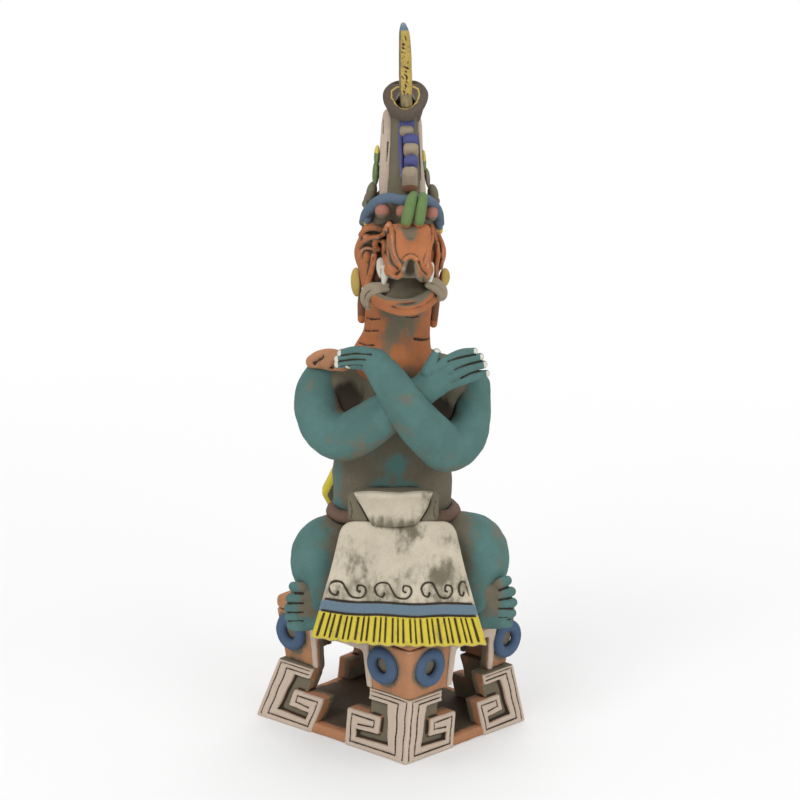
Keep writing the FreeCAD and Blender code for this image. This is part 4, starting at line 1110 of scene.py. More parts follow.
TORSO_BLOCK = ((-46, -38, SEAT_TOP - 2), (50, 44, 202))
TORSO_VOXEL = 1.0
TORSO_REACH = 100
TRUNK_MASSES = [
    ((1, 5, SEAT_TOP + 22), (33, 27, 34), 0), ((1, 1, 128), (30, 19, 46), 14),
    ((4, 1, 166), (31, 18.5, 34), 12),
    ((-24, 1, 180), (12, 12, 11), 8), ((32, 1, 180), (12, 12, 11), 8),
]
SIDE_ACROSS = (-10, 16)
SIDE_MASSES = [((-10, 168), (13, 9, 13), 5), ((12, 170), (12, 8, 17), 5), ((16, 82), (17, 14, 17), 5)]
SPINE_ROWS = [(2.5, 24, 190, 3), (2, 22.5, 160, 3), (1, 22, 125, 3), (1, 30, 100, 2)]
SPINE_BLEND = 4
HOLLOWS = [((350, 395), (10, 11, 11)), ((444, 409), (8, 11, 10))]
HOLLOW_DEPTH = -20
HOLLOW_BLEND = 3
CHEST_SHADE_SPREAD = 3.6
BELLY_PATCH = ((396, 466), (17, 15))


def oval_share(places, oval):
    """Distance in the picture from the middle of an oval, as a share of its radii."""
    across, down = in_picture(places)
    middle, radii = oval
    return np.hypot((across - middle[0]) / radii[0], (down - middle[1]) / radii[1])


def build_torso():
    torso = Clay(*TORSO_BLOCK, TORSO_VOXEL)
    swell(torso, TRUNK_MASSES)
    for across in SIDE_ACROSS:
        swell(torso, [((across, *centre), radii, blend) for centre, radii, blend in SIDE_MASSES])
    torso.cut(rope(SPINE_ROWS), SPINE_BLEND)
    for pixel, radii in HOLLOWS:
        torso.cut(blob(at_depth(pixel, HOLLOW_DEPTH), radii), HOLLOW_BLEND)
    torso.keep(block((0, 0, SEAT_TOP + TORSO_REACH), (WIDE_REACH, WIDE_REACH, TORSO_REACH), 0), SEAT_BLEND)

    def paint(places, normals):
        across, down = in_picture(places)
        front = ramp(-normals[:, 1], 0.1, 0.6)
        belly = ramp(-oval_share(places, BELLY_PATCH), -1.7, 0.0) * front
        flank = ramp(-across, -348, -338) * 0.7
        back = ramp(places[:, 1], 2, 12)
        # The hollows beside the chest, between the arms and the torso, are painted dark: painted shade.
        chest_shade = np.zeros(len(places))
        for (x, y), radii in HOLLOWS:
            gap = np.hypot((across - x + 3) / radii[0], (down - y - 4) / radii[2]) / CHEST_SHADE_SPREAD
            chest_shade = np.maximum(chest_shade, ramp(-gap, -1.0, 0.1))
        chest = ramp(-down, -425, -405)
        return dict(patch_and_shade=np.maximum.reduce([belly, flank * (1 - chest), back * 0.95]), slip_and_shade=chest_shade * front)

    mould("torso_clay", torso, ["torso"], "brown", "torso", paint, 0.7)


BELT_BLOCK = ((-42, -32, 106), (44, 34, 122))
BELT_VOXEL = 0.75
BELT_MIDDLE = (1.6, 1.5)
BELT_ACROSS, BELT_DEEP = 30.6, 23.5
BELT_RISE, BELT_SAG, BELT_FORWARD = 114.0, 2.4, 4.5
BELT_COIL = 3.4
BELT_STEPS = 12


def build_belt():
    belt = Clay(*BELT_BLOCK, BELT_VOXEL)
    path = []
    for number in range(BELT_STEPS + 1):
        angle = math.tau * number / BELT_STEPS
        sag = math.sin(angle) ** 2
        path.append((BELT_MIDDLE[0] + BELT_ACROSS * math.sin(angle),
                     BELT_MIDDLE[1] - BELT_DEEP * math.cos(angle) - BELT_FORWARD * sag,
                     BELT_RISE - BELT_SAG * sag))
    belt.add(roll(path, BELT_COIL, 3), 0)
    mould("belt_clay", belt, ["belt_coil"], "brown", "belt", None, 0.4)


POUCH_OUTLINE = [(-37, -2.5), (-30, -17), (22, -16), (28, -2), (22, 11), (-30, 12)]
POUCH_BLOCK = ((40, 11, 19), (40, 14, 19))
POUCH_VOXEL = 0.8
POUCH_EDGE_THICK, POUCH_SWELL, POUCH_SWELL_WIDTH = 5.0, 2.5, 12
POUCH_INSET, POUCH_ROUNDING = 1.0, 4.0
POUCH_RIM_INSET, POUCH_RIM_BACK, POUCH_RIM_RADIUS, POUCH_RIM_BLEND = 3.0, 3.5, 2.0, 0.8


def build_pouch():
    middle = [(a + b) / 2 / METRES for a, b in zip(*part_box("back_pouch"))]
    before, behind = POUCH_BLOCK
    pouch = Clay(np.array(middle) - before, np.array(middle) + behind, POUCH_VOXEL)
    grid = pouch.everywhere()
    face = outline_gap(grid[0] - middle[0], grid[2] - middle[2], POUCH_OUTLINE)
    thick = POUCH_EDGE_THICK + POUCH_SWELL * ramp(-np.abs(face), -POUCH_SWELL_WIDTH, 0)
    body = most(face + POUCH_INSET, np.abs(grid[1] - middle[1]) - thick, POUCH_ROUNDING)
    rim = np.hypot(np.abs(face + POUCH_RIM_INSET), grid[1] - middle[1] - POUCH_RIM_BACK) - POUCH_RIM_RADIUS
    pouch.field = least(body, rim, POUCH_RIM_BLEND).astype(np.float32)

    def paint(places, normals):
        face = outline_gap(places[:, 0] - middle[0], places[:, 2] - middle[2], POUCH_OUTLINE)
        return dict(slip_and_shade=ramp(face, -3.9, -3.1))

    mould("pouch_clay", pouch, ["back_pouch"], "yellow", "pouch", paint, 0.4)


PAD_ROWS = [(312.5, 362, -6, 3.4), (321, 359.5, -10, 4.8), (331, 359.5, -16, 5.4), (343, 362, -22, 4.6)]
PAD_SLASHES = [[(313, 364.5), (317, 360.5), (322, 357)], [(330, 371), (333, 366.5), (335, 362)]]
PAD_VOXEL = 0.45
SLASH_WIDTH = 2.8


def build_pad():
    pad = fitted(rolled(PAD_ROWS), PAD_VOXEL)
    for slash in PAD_SLASHES:
        groove(pad, slash, [pad], SLASH_WIDTH)
    mould("pad_clay", pad, ["shoulder_pad"], "orange", "pad", None, 0.3)


# Apron, modelled flat and then leaned: across, thickness forwards and height from its top

APRON_TOP = (3.9, -33.5, 114.5)
APRON_LEAN = math.radians(27.5)
APRON_DROP = 59.0
APRON_HALF_TOP = 28.2
APRON_HALF_BOTTOM = 43.0
APRON_ABOVE = 1.5
HEM_SLOPE = 0.03
APRON_THICK = 2.3
APRON_BULGE = 9.0
RIGHT_BULGE_SHARE = 0.55
FLARE_POWER = 1.15
HEM_OUT, HEM_WAVE, HEM_TURN, HEM_ROUND = 1.4, 0.3, 0.9, 1.2
APRON_TOP_ROUND = 7.0
BAND_WAVE, BAND_TURN, BAND_ROUND, BAND_EDGE_ROUND = 0.3, 0.2, 0.6, 0.3
APRON_BLOCK = ((-46, -6, -64), (46, 6, 5))
APRON_VOXEL = 0.42
APRON_ROUNDING = 1.4
BAND_PROUD = 0.7
BAND_GROOVE_OUT, BAND_GROOVE = 0.5, 0.75
SCROLL_GROOVE = 0.9
GROOVE_OUT = 0.1
SCROLL_SPARE = 3
SCROLL_SHARES = [
    (0.26, 0.69), (0.21, 0.85), (0.08, 0.75), (0.01, 0.38), (0.14, 0.1), (0.35, 0.12), (0.47, 0.5),
    (0.6, 0.88), (0.84, 0.95), (0.98, 0.62), (0.93, 0.31), (0.79, 0.27), (0.76, 0.52), (0.82, 0.6),
]
SCROLL_SPANS = [(-34.4, 19.0), (-11.6, 18.6), (11.4, 15.6), (29.8, 9.4)]
SCROLL_TOP = 28.6
SCROLL_HEIGHT = 9.0
BAND_TOP = 40.0
BAND_HEIGHT = 5.4
BAND_SLOPE = 0.022
FRINGE_GAP = 2.75
FRINGE_FAN = 0.008
SOILED_SPOTS = [
    (6, 4, 13, 0.95), (-22, 18, 16, 0.72), (20, 25, 15, 0.85), (-29, 2, 8, 0.5), (-4, 30, 16, 0.62),
    (26, 10, 9, 0.5), (-30, 32, 14, 0.65),
]


class LeaningClay(Clay):
    """Clay whose flat block is bent back at its sides and leaned over the knees."""

    def bulge(self, across, drop):
        share = np.where(across < 0, 1.0, RIGHT_BULGE_SHARE)
        return APRON_BULGE * share * (across / APRON_HALF_BOTTOM) ** 2 * np.clip(drop / APRON_DROP, 0, 1)

    def outward(self, places):
        drop = -places[:, 2]
        sine, cosine = math.sin(APRON_LEAN), math.cos(APRON_LEAN)
        y = -drop * sine + places[:, 1] * cosine + self.bulge(places[:, 0], drop)
        z = -drop * cosine - places[:, 1] * sine
        return np.column_stack([places[:, 0] + APRON_TOP[0], y + APRON_TOP[1], z + APRON_TOP[2]])

    def inward(self, places):
        across = places[:, 0] - APRON_TOP[0]
        y, z = places[:, 1] - APRON_TOP[1], places[:, 2] - APRON_TOP[2]
        sine, cosine = math.sin(APRON_LEAN), math.cos(APRON_LEAN)
        guess = -z / cosine
        y = y - self.bulge(across, guess)
        return np.column_stack([across, y * cosine - z * sine, z * cosine + y * sine])


def apron_edges(across, flat):
    """Distance to the apron's outline in its flat frame, negative inside."""
    flare = (np.maximum(flat, 0) / APRON_DROP) ** FLARE_POWER
    half = APRON_HALF_TOP + (APRON_HALF_BOTTOM - APRON_HALF_TOP) * flare
    hem = flat - APRON_DROP - HEM_OUT - HEM_SLOPE * across - HEM_WAVE * np.sin(across * HEM_TURN)
    return most(most(np.abs(across) - half, -APRON_ABOVE - flat, APRON_TOP_ROUND), hem, HEM_ROUND)


def build_apron():
    clay = LeaningClay(*APRON_BLOCK, APRON_VOXEL)
    grid = clay.everywhere()
    across, face, flat = grid[0], -grid[1], -grid[2]
    body = most(apron_edges(across, flat), np.abs(grid[1]) - APRON_THICK, APRON_ROUNDING)
    band = flat - BAND_TOP - BAND_SLOPE * across - BAND_WAVE * np.sin(across * BAND_TURN)
    band_gap = np.abs(band - BAND_HEIGHT / 2) - BAND_HEIGHT / 2
    raised = most(band_gap, np.abs(face - APRON_THICK) - BAND_PROUD, BAND_ROUND)
    raised = most(raised, apron_edges(across, flat), BAND_EDGE_ROUND)
    body = least(body, raised, BAND_EDGE_ROUND)
    for line in (band + BAND_GROOVE_OUT, band - BAND_HEIGHT - BAND_GROOVE_OUT):
        body = most(body, -(np.hypot(line, face - APRON_THICK - GROOVE_OUT) - BAND_GROOVE), 0.3)
    for left, width in SCROLL_SPANS:
        corners = [(left + x * width, SCROLL_TOP + y * SCROLL_HEIGHT) for x, y in SCROLL_SHARES]
        points = smooth_line(corners, 3)
        points = [tuple(spot) for spot in points]
        first = np.searchsorted(across[:, 0, 0], left - SCROLL_SPARE)
        last = np.searchsorted(across[:, 0, 0], left + width + SCROLL_SPARE)
        near = line_gap(across[first:last], flat, points)
        line = np.hypot(near, face - APRON_THICK - GROOVE_OUT) - SCROLL_GROOVE
        body[first:last] = most(body[first:last], -line, 0.35)
    fringe = ramp(band, BAND_HEIGHT + 0.8, BAND_HEIGHT + 1.6)
    middle = across / (1 + FRINGE_FAN * np.maximum(band - BAND_HEIGHT, 0))
    phase = middle / FRINGE_GAP + 0.12 * np.sin(middle * 0.8)
    comb = np.abs(phase - np.round(phase)) * FRINGE_GAP
    line = np.hypot(comb, (face - APRON_THICK) * 0.7) - 0.62 * fringe - 0.01
    clay.field = most(body, -line, 0.35).astype(np.float32)

    def paint(places, normals):
        own = clay.inward(places)
        flat, across = -own[:, 2], own[:, 0]
        band = flat - BAND_TOP - BAND_SLOPE * across
        front = ramp(-own[:, 1], 0.5, 1.5)
        slate = ramp(band, -0.2, 0.3) * ramp(-band, -BAND_HEIGHT - 0.3, -BAND_HEIGHT + 0.2) * front
        brush = value_noise(own * (1.0, 1.0, 0.3), 3.0, 11) * 0.15 + value_noise(own, 8, 12) * 0.15
        soiled = np.zeros(len(own))
        for x, drop, reach, strength in SOILED_SPOTS:
            near = ramp(-np.hypot(across - x, flat - drop) / reach, -1.3, 0.2)
            soiled = np.maximum(soiled, near * strength)
        soiled = np.maximum(soiled, ramp(flat, 10, 32) * 0.5)
        soiled = np.clip(soiled + brush, 0, 1)
        # The back face of the apron, towards the knees, is painted olive: painted shade.
        back = ramp(own[:, 1], -0.5, 1.0) * 0.9
        yellow = ramp(band, BAND_HEIGHT + 0.3, BAND_HEIGHT + 0.9) * front
        return dict(slip_and_shade=slate, patch_and_shade=np.maximum(soiled, back), tint=yellow)

    mould("apron_clay", clay, ["apron"], "cream", "apron", paint, 0.12)


FLAP_OUTLINE = [(-19.5, 14), (19.5, 14.5), (17, 6), (11.5, -3.5), (-10.5, -3.8), (-15, 5)]
KNOT_CREASES = [
    [(350, 502), (352, 512), (349, 522)], [(436, 501), (434, 511), (437, 521)],
]
FLAP_CENTRE = ((393.5, 511), -36)
FLAP_BLOCK = ((32, 8, 18), (32, 26, 20))
FLAP_VOXEL = 0.5
FLAP_RISE = 4
FLAP_HALF_THICK = 2.6
CURL, CURL_SPAN = 1.6, (8, 14)
FLAP_WAVE, FLAP_TURN = 1.0, 0.25
FLAP_ROUNDING = 2.2
KNOT_BACKS = [((0, 6.4, 0.5), (22.5, 5, 8.5), 0.6), ((0, 13, 0), (17, 7, 7), 2.0)]
KNOT_ROUNDING = 4.0
CREASE_WIDTH = 0.9


def build_flap():
    centre = at_depth(*FLAP_CENTRE)
    before, behind = FLAP_BLOCK
    clay = Clay(centre - before, centre + behind, FLAP_VOXEL)
    grid = clay.everywhere()
    across, rise = grid[0] - centre[0], grid[2] - centre[2] + FLAP_RISE
    face = outline_gap(across, rise, FLAP_OUTLINE)
    curl = CURL * ramp(rise, *CURL_SPAN) + FLAP_WAVE * np.cos(across * FLAP_TURN)
    front = most(face, np.abs(grid[1] - centre[1] + curl) - FLAP_HALF_THICK, FLAP_ROUNDING)
    clay.field = front.astype(np.float32)
    for shift, half, blend in KNOT_BACKS:
        clay.add(block(centre + shift, half, KNOT_ROUNDING), blend)
    for crease in KNOT_CREASES:
        groove(clay, crease, [clay], CREASE_WIDTH)

    def paint(places, normals):
        low = ramp(-places[:, 2], -centre[2] - 4, -centre[2] + 8)
        face = outline_gap(places[:, 0] - centre[0], places[:, 2] - centre[2] + FLAP_RISE, FLAP_OUTLINE)
        behind = np.maximum(ramp(places[:, 1], centre[1] + 2.0, centre[1] + 3.0), ramp(face, 0.3, 1.0))
        right = ramp(places[:, 0], centre[0] + 2, centre[0] + 22) * 0.6
        return dict(patch_and_shade=np.maximum.reduce([low * 0.85, right, behind * 1.3]))

    mould("flap_clay", clay, ["apron_flap"], "cream", "flap", paint, 0.35)


# Head. Rows are pixel across, pixel down, depth and radius; other lines are pixels.

SNOUT_ENDS = [((409.5, 226), -28), ((408, 276), -48)]
NOSTRILS = [(393.5, 270), (424, 270)]
NOSTRIL_DEPTH = -46
NOTCH = (410, 269)
BRIDGE_ROWS = [(410, 236, -39.5, 3.4), (410, 250, -45.6, 3.8), (410, 262, -50.0, 3.2)]
STRIPS = [
    [(389, 224), (391.5, 232), (391.5, 242), (393, 253), (397, 262), (401.5, 268)],
    [(378, 249), (375, 245), (376.5, 240.5), (381, 239.5), (384.5, 244), (384.5, 252), (386.5, 262),
     (390.5, 271), (395.5, 277), (401, 274.5), (404, 266), (406, 260), (411, 257), (416, 260)],
    [(431, 226), (431.5, 236), (430, 246), (428, 256), (426.5, 264), (429, 272), (427.5, 278), (422, 280),
     (418, 275), (416, 265)],
    [(361, 235), (365, 230), (371, 228), (378, 229), (384, 232), (388, 226)],
    [(359, 246), (364, 241.5), (370, 238), (378, 237), (384, 234)],
    [(359, 258), (362, 251), (367, 248), (374, 250), (376, 256)],
    [(437, 231), (440, 238), (443, 247), (441, 256)],
    [(437, 244), (438, 256), (436, 268), (437, 279)],
    [(443, 258), (441, 268), (440, 280)],
    [(374, 256), (373, 266), (370, 277), (367, 288)],
]
STRIP_WIDTHS = [2.6, 2.8, 2.4, 3.0, 2.4, 1.6, 2.2, 2.4, 2.0, 3.0]
FACE_LINES = [
    [(382, 244), (382.5, 252), (385, 262), (389, 270), (395, 274.5), (400.5, 270), (403, 262)],
    [(387, 234), (387.5, 244), (389, 254), (392, 263), (398, 269)],
    [(432, 238), (431, 248), (428.5, 258), (425.5, 266)],
    [(363, 237), (367, 233), (373, 233)],
    [(374, 258), (371, 268), (369, 280)],
    [(434, 232), (436, 246), (434, 262), (434, 276)],
    [(440, 244), (441, 256), (438, 268), (438.5, 280)],
    [(388, 228), (390, 240), (392, 254), (398, 264)],
    [(419, 262), (422, 270), (427, 275)],
]
FACE_LINE_WIDTH = 1.0
EYE = (366.8, 237)
EYE_RADII, EYE_BLEND = (2.1, 2.1, 1.7), 0.3
EYE_AXIS, EYE_RING_RADIUS, EYE_RING_THICK = (0, -1, 0.3), 2.6, 0.5
NODULE = (367, 256.5)
NODULE_RADII, NODULE_BLEND = (1.9, 2.0, 2.8), 0.4
SNOUT_PATCH = ((409, 226), (16, 16))
NOTCH_PATCH = ((410, 271), (7.5, 12))
SLOT_PATCH = ((388.5, 249), (3.0, 18))
LIP_ROWS = [
    (370.5, 297, -24, 1.5), (377, 303.5, -30, 1.7), (390, 310, -38, 1.8), (405, 312.8, -42, 1.9),
    (421, 309.8, -38, 1.8), (431.5, 302.5, -30, 1.7), (437, 295.5, -24, 1.5),
]
INNER_LIP_ROWS = [
    (371.5, 292.5, -25, 0.9), (379, 298.5, -31, 1.1), (391.7, 304.5, -37, 1.2), (406, 307.3, -41, 1.2),
    (420, 303.5, -37, 1.2), (429.5, 296, -30, 1.1), (433, 290, -25, 0.9),
]
TONGUE_ROWS = [(0, 288, -22, 5.2), (0, 296.5, -30, 4.0), (0, 302, -35.5, 2.6)]
TONGUE_SHIFTS = (392, 405, 418)
NECK_CREASES = [
    [(360, 329), (368, 331), (378, 331)], [(356, 341), (365, 345), (374, 345)],
    [(366, 318), (372, 319.5), (380, 319)], [(414, 339), (424, 340), (432, 338)],
    [(404, 316), (411, 318), (418, 316.5)],
]


NECK_BLOCK = ((-26, -30, 180), (34, 26, 236))
NECK_VOXEL = 0.7
NECK_ROWS = [
    (2.5, 2, 184, 19), (3, 0, 196, 17), (3.6, -1, 208, 16.2), (4.5, -3, 222, 16.2), (5, -6, 232, 15.5),
]
NECK_MASSES = [((4, -8, 190), (17, 13, 12), 5), ((-10.5, -4, 192), (8.5, 9, 11), 5)]
NECK_CREASE_WIDTH = 1.3
NAPE_HEIGHTS = (196, 203, 210, 217)
NAPE_LINE = [(-12, 8, 1), (-6, 15, 0), (4, 17.5, 0), (14, 15, 0), (20, 8, 1)]
NAPE_LINE_RADIUS, NAPE_LINE_BLEND = 0.6, 0.4


def build_neck():
    neck = Clay(*NECK_BLOCK, NECK_VOXEL)
    neck.add(rope(NECK_ROWS, 5), 0)
    swell(neck, NECK_MASSES)
    for crease in NECK_CREASES:
        groove(neck, crease, [neck], NECK_CREASE_WIDTH)
    for height in NAPE_HEIGHTS:
        line = [(across, deep, height + rise) for across, deep, rise in NAPE_LINE]
        neck.cut(roll(line, NAPE_LINE_RADIUS, 3), NAPE_LINE_BLEND)

    def paint(places, normals):
        middle = ramp(-np.abs(places[:, 0] - 5), -18, -2) * ramp(-normals[:, 1], 0.0, 0.9)
        # The throat bulge keeps less olive, so its orange shows: a painted highlight.
        throat_highlight = ramp(-np.hypot(places[:, 2] - 198, places[:, 0] - 8), -14, -2)
        back = ramp(normals[:, 1], 0.2, 0.8) * 0.5
        brush = value_noise(places * (1.0, 1.0, 0.4), 4, 4) * 0.12
        return dict(patch_and_shade=np.clip(np.maximum(middle * (0.85 - throat_highlight * 0.7), back) + brush, 0, 1))

    mould("neck_clay", neck, ["neck"], "orange", "neck", paint, 0.5)


SKULL_BLOCK = ((-26, -36, 212), (38, 30, 291))
SKULL_VOXEL = 0.54
SKULL_MASS = [((5, 1, 250), (19.5, 22, 30), 0)]
CHEEK_ACROSS = (-9.5, 19.5)
CHEEK_MASSES = [(1.0, (-9, 246.5), (8, 12, 10), 4), (0.9, (-14, 257), (5.5, 8, 6), 3),
                (0.85, (-8, 234), (6.5, 12, 10), 5)]
THROAT_AND_BROW = [((5, 4, 228), (15.5, 16, 12), 6), ((5.5, -8, 266), (14.5, 12, 9), 4)]
SCALP_ACROSS = (-6, 5, 16)
SCALP_LINE = [(1.0, 24, 276), (1.1, 26, 256), (1.0, 23, 236)]
SCALP_LINE_RADIUS, SCALP_LINE_BLEND = 0.8, 0.8


def build_skull():
    head = Clay(*SKULL_BLOCK, SKULL_VOXEL)
    swell(head, SKULL_MASS)
    for across in CHEEK_ACROSS:
        swell(head, [((across * share, *centre), radii, blend)
                     for share, centre, radii, blend in CHEEK_MASSES])
    swell(head, THROAT_AND_BROW)
    for across in SCALP_ACROSS:
        line = [(across * share, deep, height) for share, deep, height in SCALP_LINE]
        head.cut(roll(line, SCALP_LINE_RADIUS, 4), SCALP_LINE_BLEND)
    return head


SNOUT_BLOCK = ((-14, -58, 228), (32, 2, 282))
SNOUT_VOXEL = 0.5
SNOUT_CORE_ROWS = [(8, -6, 255, 13.0), (8.5, -20, 253, 11.5), (9, -33, 249, 8.0)]
PLATE_HALF = (10.6, 4.2)
PLATE_ROUNDING, PLATE_BLEND = 3.2, 3.0
NOSTRIL_RADII, NOSTRIL_BLEND = (4.6, 4.2, 3.8), 2.0
NOTCH_RADII, NOTCH_BLEND, NOTCH_FORWARD = (3.2, 5, 5.8), 1.0, 4
BRIDGE_BLEND = 2.5


def build_snout():
    snout = Clay(*SNOUT_BLOCK, SNOUT_VOXEL)
    snout.add(rope(SNOUT_CORE_ROWS), 0)
    plate = np.array([(at_depth(pixel, depth)) for pixel, depth in SNOUT_ENDS])
    middle, half = plate.mean(axis=0), np.linalg.norm(plate[1] - plate[0]) / 2
    lean = math.degrees(math.atan2(plate[0][1] - plate[1][1], plate[0][2] - plate[1][2]))
    snout.add(block(middle, (*PLATE_HALF, half), PLATE_ROUNDING, turned(x=-lean)), PLATE_BLEND)
    for pixel in NOSTRILS:
        snout.add(blob(at_depth(pixel, NOSTRIL_DEPTH), NOSTRIL_RADII), NOSTRIL_BLEND)
    snout.cut(blob(at_depth(NOTCH, NOSTRIL_DEPTH - NOTCH_FORWARD), NOTCH_RADII), NOTCH_BLEND)
    snout.cut(rolled(BRIDGE_ROWS), BRIDGE_BLEND)
    return snout


JAW_BLOCK = ((-20, -50, 214), (30, 8, 248))
JAW_VOXEL = 0.55
JAW_BOWL = [((5.5, -19, 230.5), (18.0, 21.5, 9.5), 0)]
JAW_HOLLOW, JAW_HOLLOW_BLEND = ((5.6, -27, 240), (15.5, 18.5, 12.0)), 1.5
TONGUE_BLEND, LIP_BLEND, INNER_LIP_BLEND = 3.0, 1.5, 0.8


def build_jaw():
    jaw = Clay(*JAW_BLOCK, JAW_VOXEL)
    swell(jaw, JAW_BOWL)
    jaw.cut(blob(*JAW_HOLLOW), JAW_HOLLOW_BLEND)
    for across in TONGUE_SHIFTS:
        jaw.add(rolled([(across, *row[1:]) for row in TONGUE_ROWS]), TONGUE_BLEND)
    jaw.add(rolled(LIP_ROWS, 5), LIP_BLEND)
    jaw.add(rolled(INNER_LIP_ROWS, 5), INNER_LIP_BLEND)
    return jaw


def in_picture(places):
    """Pixels where the camera sees some places."""
    start = camera_place()
    sine, cosine = math.sin(CAMERA_RISE), math.cos(CAMERA_RISE)
    gap = places - start
    ahead = gap[:, 1] * cosine - gap[:, 2] * sine
    up = gap[:, 1] * sine + gap[:, 2] * cosine
    return PICTURE_CENTRE + FOCAL_PIXELS * gap[:, 0] / ahead, PICTURE_CENTRE - FOCAL_PIXELS * up / ahead


def build_head():
    build_neck()
    head, snout, jaw = build_skull(), build_snout(), build_jaw()
    face = [head, snout, jaw]
    for pixels, width in zip(STRIPS, STRIP_WIDTHS):
        for clay in (head, snout):
            strip(clay, pixels, face, width)
    for clay in (head, snout):
        for pixels in FACE_LINES:
            groove(clay, pixels, face, FACE_LINE_WIDTH)
    eye, nodule = hit(EYE, [head]), hit(NODULE, [head])
    head.add(blob(eye, EYE_RADII), EYE_BLEND)
    head.cut(ring(eye, EYE_AXIS, EYE_RING_RADIUS, EYE_RING_THICK), EYE_BLEND)
    head.add(blob(nodule, NODULE_RADII), NODULE_BLEND)

    def paint_head(places, normals):
        top = np.maximum(ramp(places[:, 2], 264, 268), ramp(-in_picture(places)[1], -226, -220))
        back = ramp(places[:, 1], 2, 12) * 0.9
        # Surfaces facing down are painted olive: painted shade.
        downward_shade = ramp(-normals[:, 2], 0.4, 0.9) * 0.4
        blots = ramp(value_noise(places, 5, 9), 0.3, 0.8) * 0.4
        return dict(patch_and_shade=np.maximum.reduce([top, back, downward_shade, blots]))

    def paint_snout(places, normals):
        front = ramp(-normals[:, 1], 0.1, 0.5)
        plate = ramp(-oval_share(places, SNOUT_PATCH), -1.3, -0.3) * front
        notch = ramp(-oval_share(places, NOTCH_PATCH), -1.25, -0.85)
        slot = ramp(-oval_share(places, SLOT_PATCH), -1.1, -0.8) * front
        # Surfaces facing down are painted olive: painted shade.
        below = ramp(-normals[:, 2], 0.3, 0.7)
        second_colour_share = ramp(value_noise(places, 7.0, 33), -0.1, 0.8) * 0.5
        return dict(patch_and_shade=np.maximum.reduce([plate * 0.95, notch, slot * 0.8, below, second_colour_share]))

    def paint_jaw(places, normals):
        across, down = in_picture(places)
        lip = smooth_line([row[:2] for row in INNER_LIP_ROWS], 4)
        bottom = np.interp(across, lip[:, 0], lip[:, 1])
        inside = ramp(bottom - down, -0.5, 1.5) * ramp(normals[:, 2], -0.4, 0.3)
        # Surfaces under the lip, facing down, are painted olive: painted shade.
        chin = ramp(-normals[:, 2], 0.35, 0.8) * 0.8
        lip_wear = ramp(value_noise(places, 6.0, 31), -0.4, 0.6) * 0.5
        return dict(patch_and_shade=np.maximum.reduce([inside, chin, lip_wear]) * 1.2)

    mould("head_clay", head, ["head"], "orange", "face", paint_head, 0.15)
    mould("snout_clay", snout, ["snout"], "orange", "face", paint_snout, 0.12)
    mould("jaw_clay", jaw, ["lower_jaw"], "orange", "face", paint_jaw, 0.15)


TRIM_ROWS = {
    "tooth_left": ([[(381, 262, -24, 2.2), (381.5, 269, -26, 2.4), (382, 275, -28, 1.8)],
                    [(385, 268, -28, 1.7), (384.6, 277, -31, 1.7), (383.5, 284, -32, 1.0)]],
                   "tooth", "white"),
    "tooth_right": ([[(431, 265, -38, 1.5), (431, 273, -39, 1.5), (430.3, 280.5, -40, 0.9)]],
                    "tooth", "white"),
    "whisker_left": ([[(386, 285.5, -31, 1.7), (377, 286.5, -32, 2.1), (369, 288, -30, 2.2),
                       (364.5, 294, -28, 2.0), (364.5, 301.5, -27, 1.8), (368, 308, -26, 1.2)],
                      [(387, 289.5, -32, 1.5), (378, 291, -33, 1.8), (371.5, 293.5, -31, 1.8),
                       (368, 298, -29, 1.5), (367.5, 304, -28, 1.3)]], "whisker", "grey"),
    "whisker_right": ([[(428, 280, -31, 1.6), (436, 282.5, -29, 2.2), (442.5, 289, -27, 2.2),
                        (443, 296, -26, 2.0), (439, 299, -26, 1.4)],
                       [(427.5, 285, -32, 1.5), (434.5, 288, -30, 2.1), (439.5, 292.5, -28, 2.0),
                        (439.5, 297, -27, 1.5)]], "whisker", "grey"),
    "ear_pendant_left": ([[(362.5, 294, 2, 1.9), (362, 305, 2, 2.2), (362, 319, 1, 2.1)]],
                         "pendant", "brown"),
    "ear_pendant_right": ([[(437, 286, 2, 2.0), (435.5, 304, 2, 2.1), (433.5, 324, 1, 1.9)]],
                          "pendant", "brown"),
    "headband": ([[(363.5, 222, -8, 2.2), (366.5, 213.5, -14, 2.5), (373, 205.5, -20, 2.6),
                   (381, 200, -24, 2.7), (390, 198, -26, 2.6), (401, 200, -27, 2.5), (412, 200, -27, 2.5),
                   (424, 199, -25, 2.5),
                   (432.5, 204, -21, 2.6), (438, 212.5, -14, 2.5), (440, 223, -8, 2.2)],
                  [(370, 216, -14, 1.7), (368, 221, -14, 2.0), (367.5, 224.5, -13, 1.8)],
                  [(437.5, 222, -11, 1.6), (439, 227, -11, 1.9), (439.5, 231, -10, 1.7)]], "band", "blue"),
    "knot_loop_left": ([[(413.5, 195.5, -25, 2.3), (411.5, 200, -31, 2.6), (409, 210, -34, 2.8),
                         (406.5, 220, -35, 2.7), (406, 223.5, -34, 2.3)]], "green", "green"),
    "knot_loop_right": ([[(423, 196.5, -25, 2.2), (422.5, 201, -30, 2.5), (421, 210, -33, 2.7),
                          (419.5, 220, -34, 2.6), (418.5, 223.5, -33, 2.2)]], "green", "green"),
}
BEADS = {"left": ((382.5, 211), -25, 3.6), "middle": ((403, 212), -28, 3.4), "right": ((431, 214), -24, 3.4)}
EAR_DISCS = {
    "left": ((356.5, 282), -3, (2.6, 6.5, 7.2), 12), "right": ((444.5, 277.5), -3, (2.4, 6, 4.6), -12),
}
TIP_REACH = 3.2
TIPPED = ("green", "pendant", "band")
TRIM_VOXEL, BEAD_VOXEL, DISC_VOXEL = 0.42, 0.35, 0.4
BEAD_HEIGHT_SHARE = 1.05
BEAD_STEM_SHIFT, BEAD_STEM_DEEP = (0, 3.0, 0.5), 4


